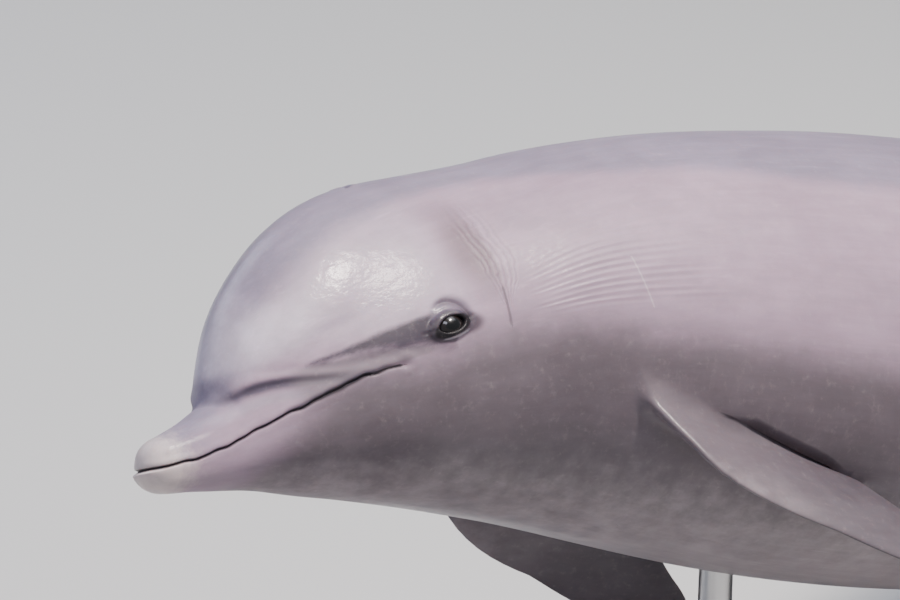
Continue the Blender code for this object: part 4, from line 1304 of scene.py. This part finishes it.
# ---- display stand ----
def bevelled(obj, wanted, width, segments):
    """Bevels the edges that pass the test, which gets an edge's two ends."""
    edit(obj)
    pick(obj, "EDGE", wanted)
    bpy.ops.mesh.bevel(offset=width, offset_type="OFFSET", segments=segments, affect="EDGES")
    object_mode()


def placed(obj):
    """The object's place goes into its mesh, and its sides shade smooth up to the sharp edges."""
    only(obj)
    bpy.ops.object.transform_apply(location=True, rotation=True, scale=True)
    bpy.ops.object.shade_smooth_by_angle(angle=math.radians(35))
    return obj


PLINTH_HIGH, PLINTH_IN = 0.006, 0.010


def make_board():
    """A board with rounded corners and eased edges, standing on a plinth set in behind a shadow line."""
    low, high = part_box("stand_base")
    board = primitive("stand_board", bpy.ops.mesh.primitive_cube_add, size=1, location=(low + high) / 2)
    board.scale = high - low
    placed(board)
    bevelled(board, lambda a, b: abs(a.z - b.z) > 0.01, 0.05, 12)
    edit(board)
    pick(board, "FACE", lambda c: c.z < low.z + 1e-4)
    bpy.ops.transform.translate(value=(0, 0, PLINTH_HIGH))
    bpy.ops.mesh.inset(thickness=PLINTH_IN)
    bpy.ops.mesh.extrude_region_move(TRANSFORM_OT_translate={"value": (0, 0, -PLINTH_HIGH)})
    object_mode()
    bevelled(board, lambda a, b: min(a.z, b.z) > high.z - 1e-4, 0.004, 4)
    rim_x, rim_y = (high.x - low.x) / 2 - 0.005, (high.y - low.y) / 2 - 0.005
    middle, foot = (low + high) / 2, low.z + PLINTH_HIGH

    def under_edge(a, b):
        along = (a + b) / 2 - middle
        return max(abs(a.z - foot), abs(b.z - foot)) < 1e-4 and (abs(along.x) > rim_x or abs(along.y) > rim_y)

    bevelled(board, under_edge, 0.0015, 2)
    return placed(board)


def make_round(name, node, edge, recess=0.0):
    """A turned disc or bar where the CAD node is, with its top edge eased and a recess in a disc's top."""
    low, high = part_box(node)
    round_bar = dict(radius=(high.x - low.x) / 2, depth=high.z - low.z, location=(low + high) / 2)
    made = primitive(name, bpy.ops.mesh.primitive_cylinder_add, vertices=64, **round_bar)
    placed(made)
    bevelled(made, lambda a, b: min(a.z, b.z) > high.z - 1e-4, edge, 3)
    if recess:
        edit(made)
        pick(made, "FACE", lambda c: c.z > high.z - 1e-4)
        bpy.ops.mesh.inset(thickness=0.007)
        bpy.ops.mesh.inset(thickness=0.002)
        bpy.ops.transform.translate(value=(0, 0, -recess))
        object_mode()
    return placed(made)


hide, eye_finish, board_finish, steel_finish = wet_skin(), wet_eye(), painted_board(), brushed_steel()


def dress(piece, finish, slot, *nodes):
    piece.data.materials.clear()
    piece.data.materials.append(finish)
    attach(piece, "root")
    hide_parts(*nodes)


FLESH = ("rostrum", "lower_jaw", "melon", "head", "neck", "chest", "abdomen", "tail_stock", "dorsal_fin",
         "flipper_left", "flipper_right", "fluke_left", "fluke_right")
dress(skin, hide, "dolphin_skin", *FLESH)
dress(make_eye("eyeball_left", False), eye_finish, "dolphin_eye", "eye_left")
dress(make_eye("eyeball_right", True), eye_finish, "dolphin_eye", "eye_right")
dress(make_board(), board_finish, "stand_paint", "stand_base")
for end in ("front", "rear"):
    disc = make_round(f"stand_disc_{end}", f"stand_collar_{end}", 0.0025, 0.002)
    dress(disc, steel_finish, "stand_steel", f"stand_collar_{end}")
    bar = make_round(f"stand_bar_{end}", f"stand_rod_{end}", 0.001)
    dress(bar, steel_finish, "stand_steel", f"stand_rod_{end}")

# ---- studio ----
floor = primitive("floor", bpy.ops.mesh.primitive_plane_add, size=90, location=(0, 0, 0))
floor.data.materials.append(studio_floor())

world = bpy.data.worlds.new("studio")
bpy.context.scene.world = world
world.use_nodes = True
sky = world.node_tree.nodes["Background"]
sky.inputs["Color"].default_value = linear("#e6ebf3")
sky.inputs["Strength"].default_value = 0.36

CAMERA_TURN, CAMERA_DOWN, CAMERA_FAR, CAMERA_LENS = 33.19, 29.25, 4.5, 179.0
FROM_EYE = Vector((0.0379, 0.0676, -0.0138))  # from the left eye to what the camera aims at
aim = Vector(in_frame(np.array([EYE_X, -0.13, EYE_Z]))) + FROM_EYE
turn, down = math.radians(CAMERA_TURN), math.radians(CAMERA_DOWN)
heading = Vector((math.sin(turn) * math.cos(down), math.cos(turn) * math.cos(down), -math.sin(down)))
camera = bpy.data.objects.new("camera", bpy.data.cameras.new("camera"))
bpy.context.scene.collection.objects.link(camera)
bpy.context.scene.camera = camera
camera.location = aim - heading * CAMERA_FAR
camera.rotation_euler = heading.to_track_quat("-Z", "Y").to_euler()
camera.data.lens = CAMERA_LENS
camera.data.clip_end = 200

# the lights face the melon, and the key light stands where the melon mirrors it into the camera
MELON_PLACE, SHINE_PLACE = (0.262, 55.5), (0.257, 58.5)  # x and degrees
lit = Vector(in_frame(bare_at(*MELON_PLACE)))


def mirror_way(x, degrees):
    """From a place on the left side towards what it mirrors."""
    out = Vector(TURN @ outward(np.float64(x), np.float64(math.radians(degrees))))
    to_camera = (camera.location - Vector(in_frame(bare_at(x, degrees)))).normalized()
    return 2 * out.dot(to_camera) * out - to_camera


def softbox(name, way, distance, size, watts, colour):
    lamp = bpy.data.objects.new(name, bpy.data.lights.new(name, "AREA"))
    lamp.data.shape = "RECTANGLE"
    lamp.data.size, lamp.data.size_y = size
    lamp.data.energy = watts
    lamp.data.color = linear(colour)[:3]
    lamp.location = lit + way.normalized() * distance
    lamp.rotation_euler = (-way).to_track_quat("-Z", "Y").to_euler()
    bpy.context.scene.collection.objects.link(lamp)


softbox("key", mirror_way(*SHINE_PLACE), 3.2, (0.46, 0.34), 190, "#fff3ea")
softbox("overhead", Vector((0.5, 0.2, 1)), 3.4, (4.0, 2.4), 55, "#eef2ff")
softbox("window", Vector((-0.35, -0.17, 0.92)), 4.2, (2.4, 1.2), 60, "#ecebff")
softbox("back window", Vector((-0.35, 0.85, 0.40)), 4.5, (5.0, 2.0), 90, "#e0e6ff")
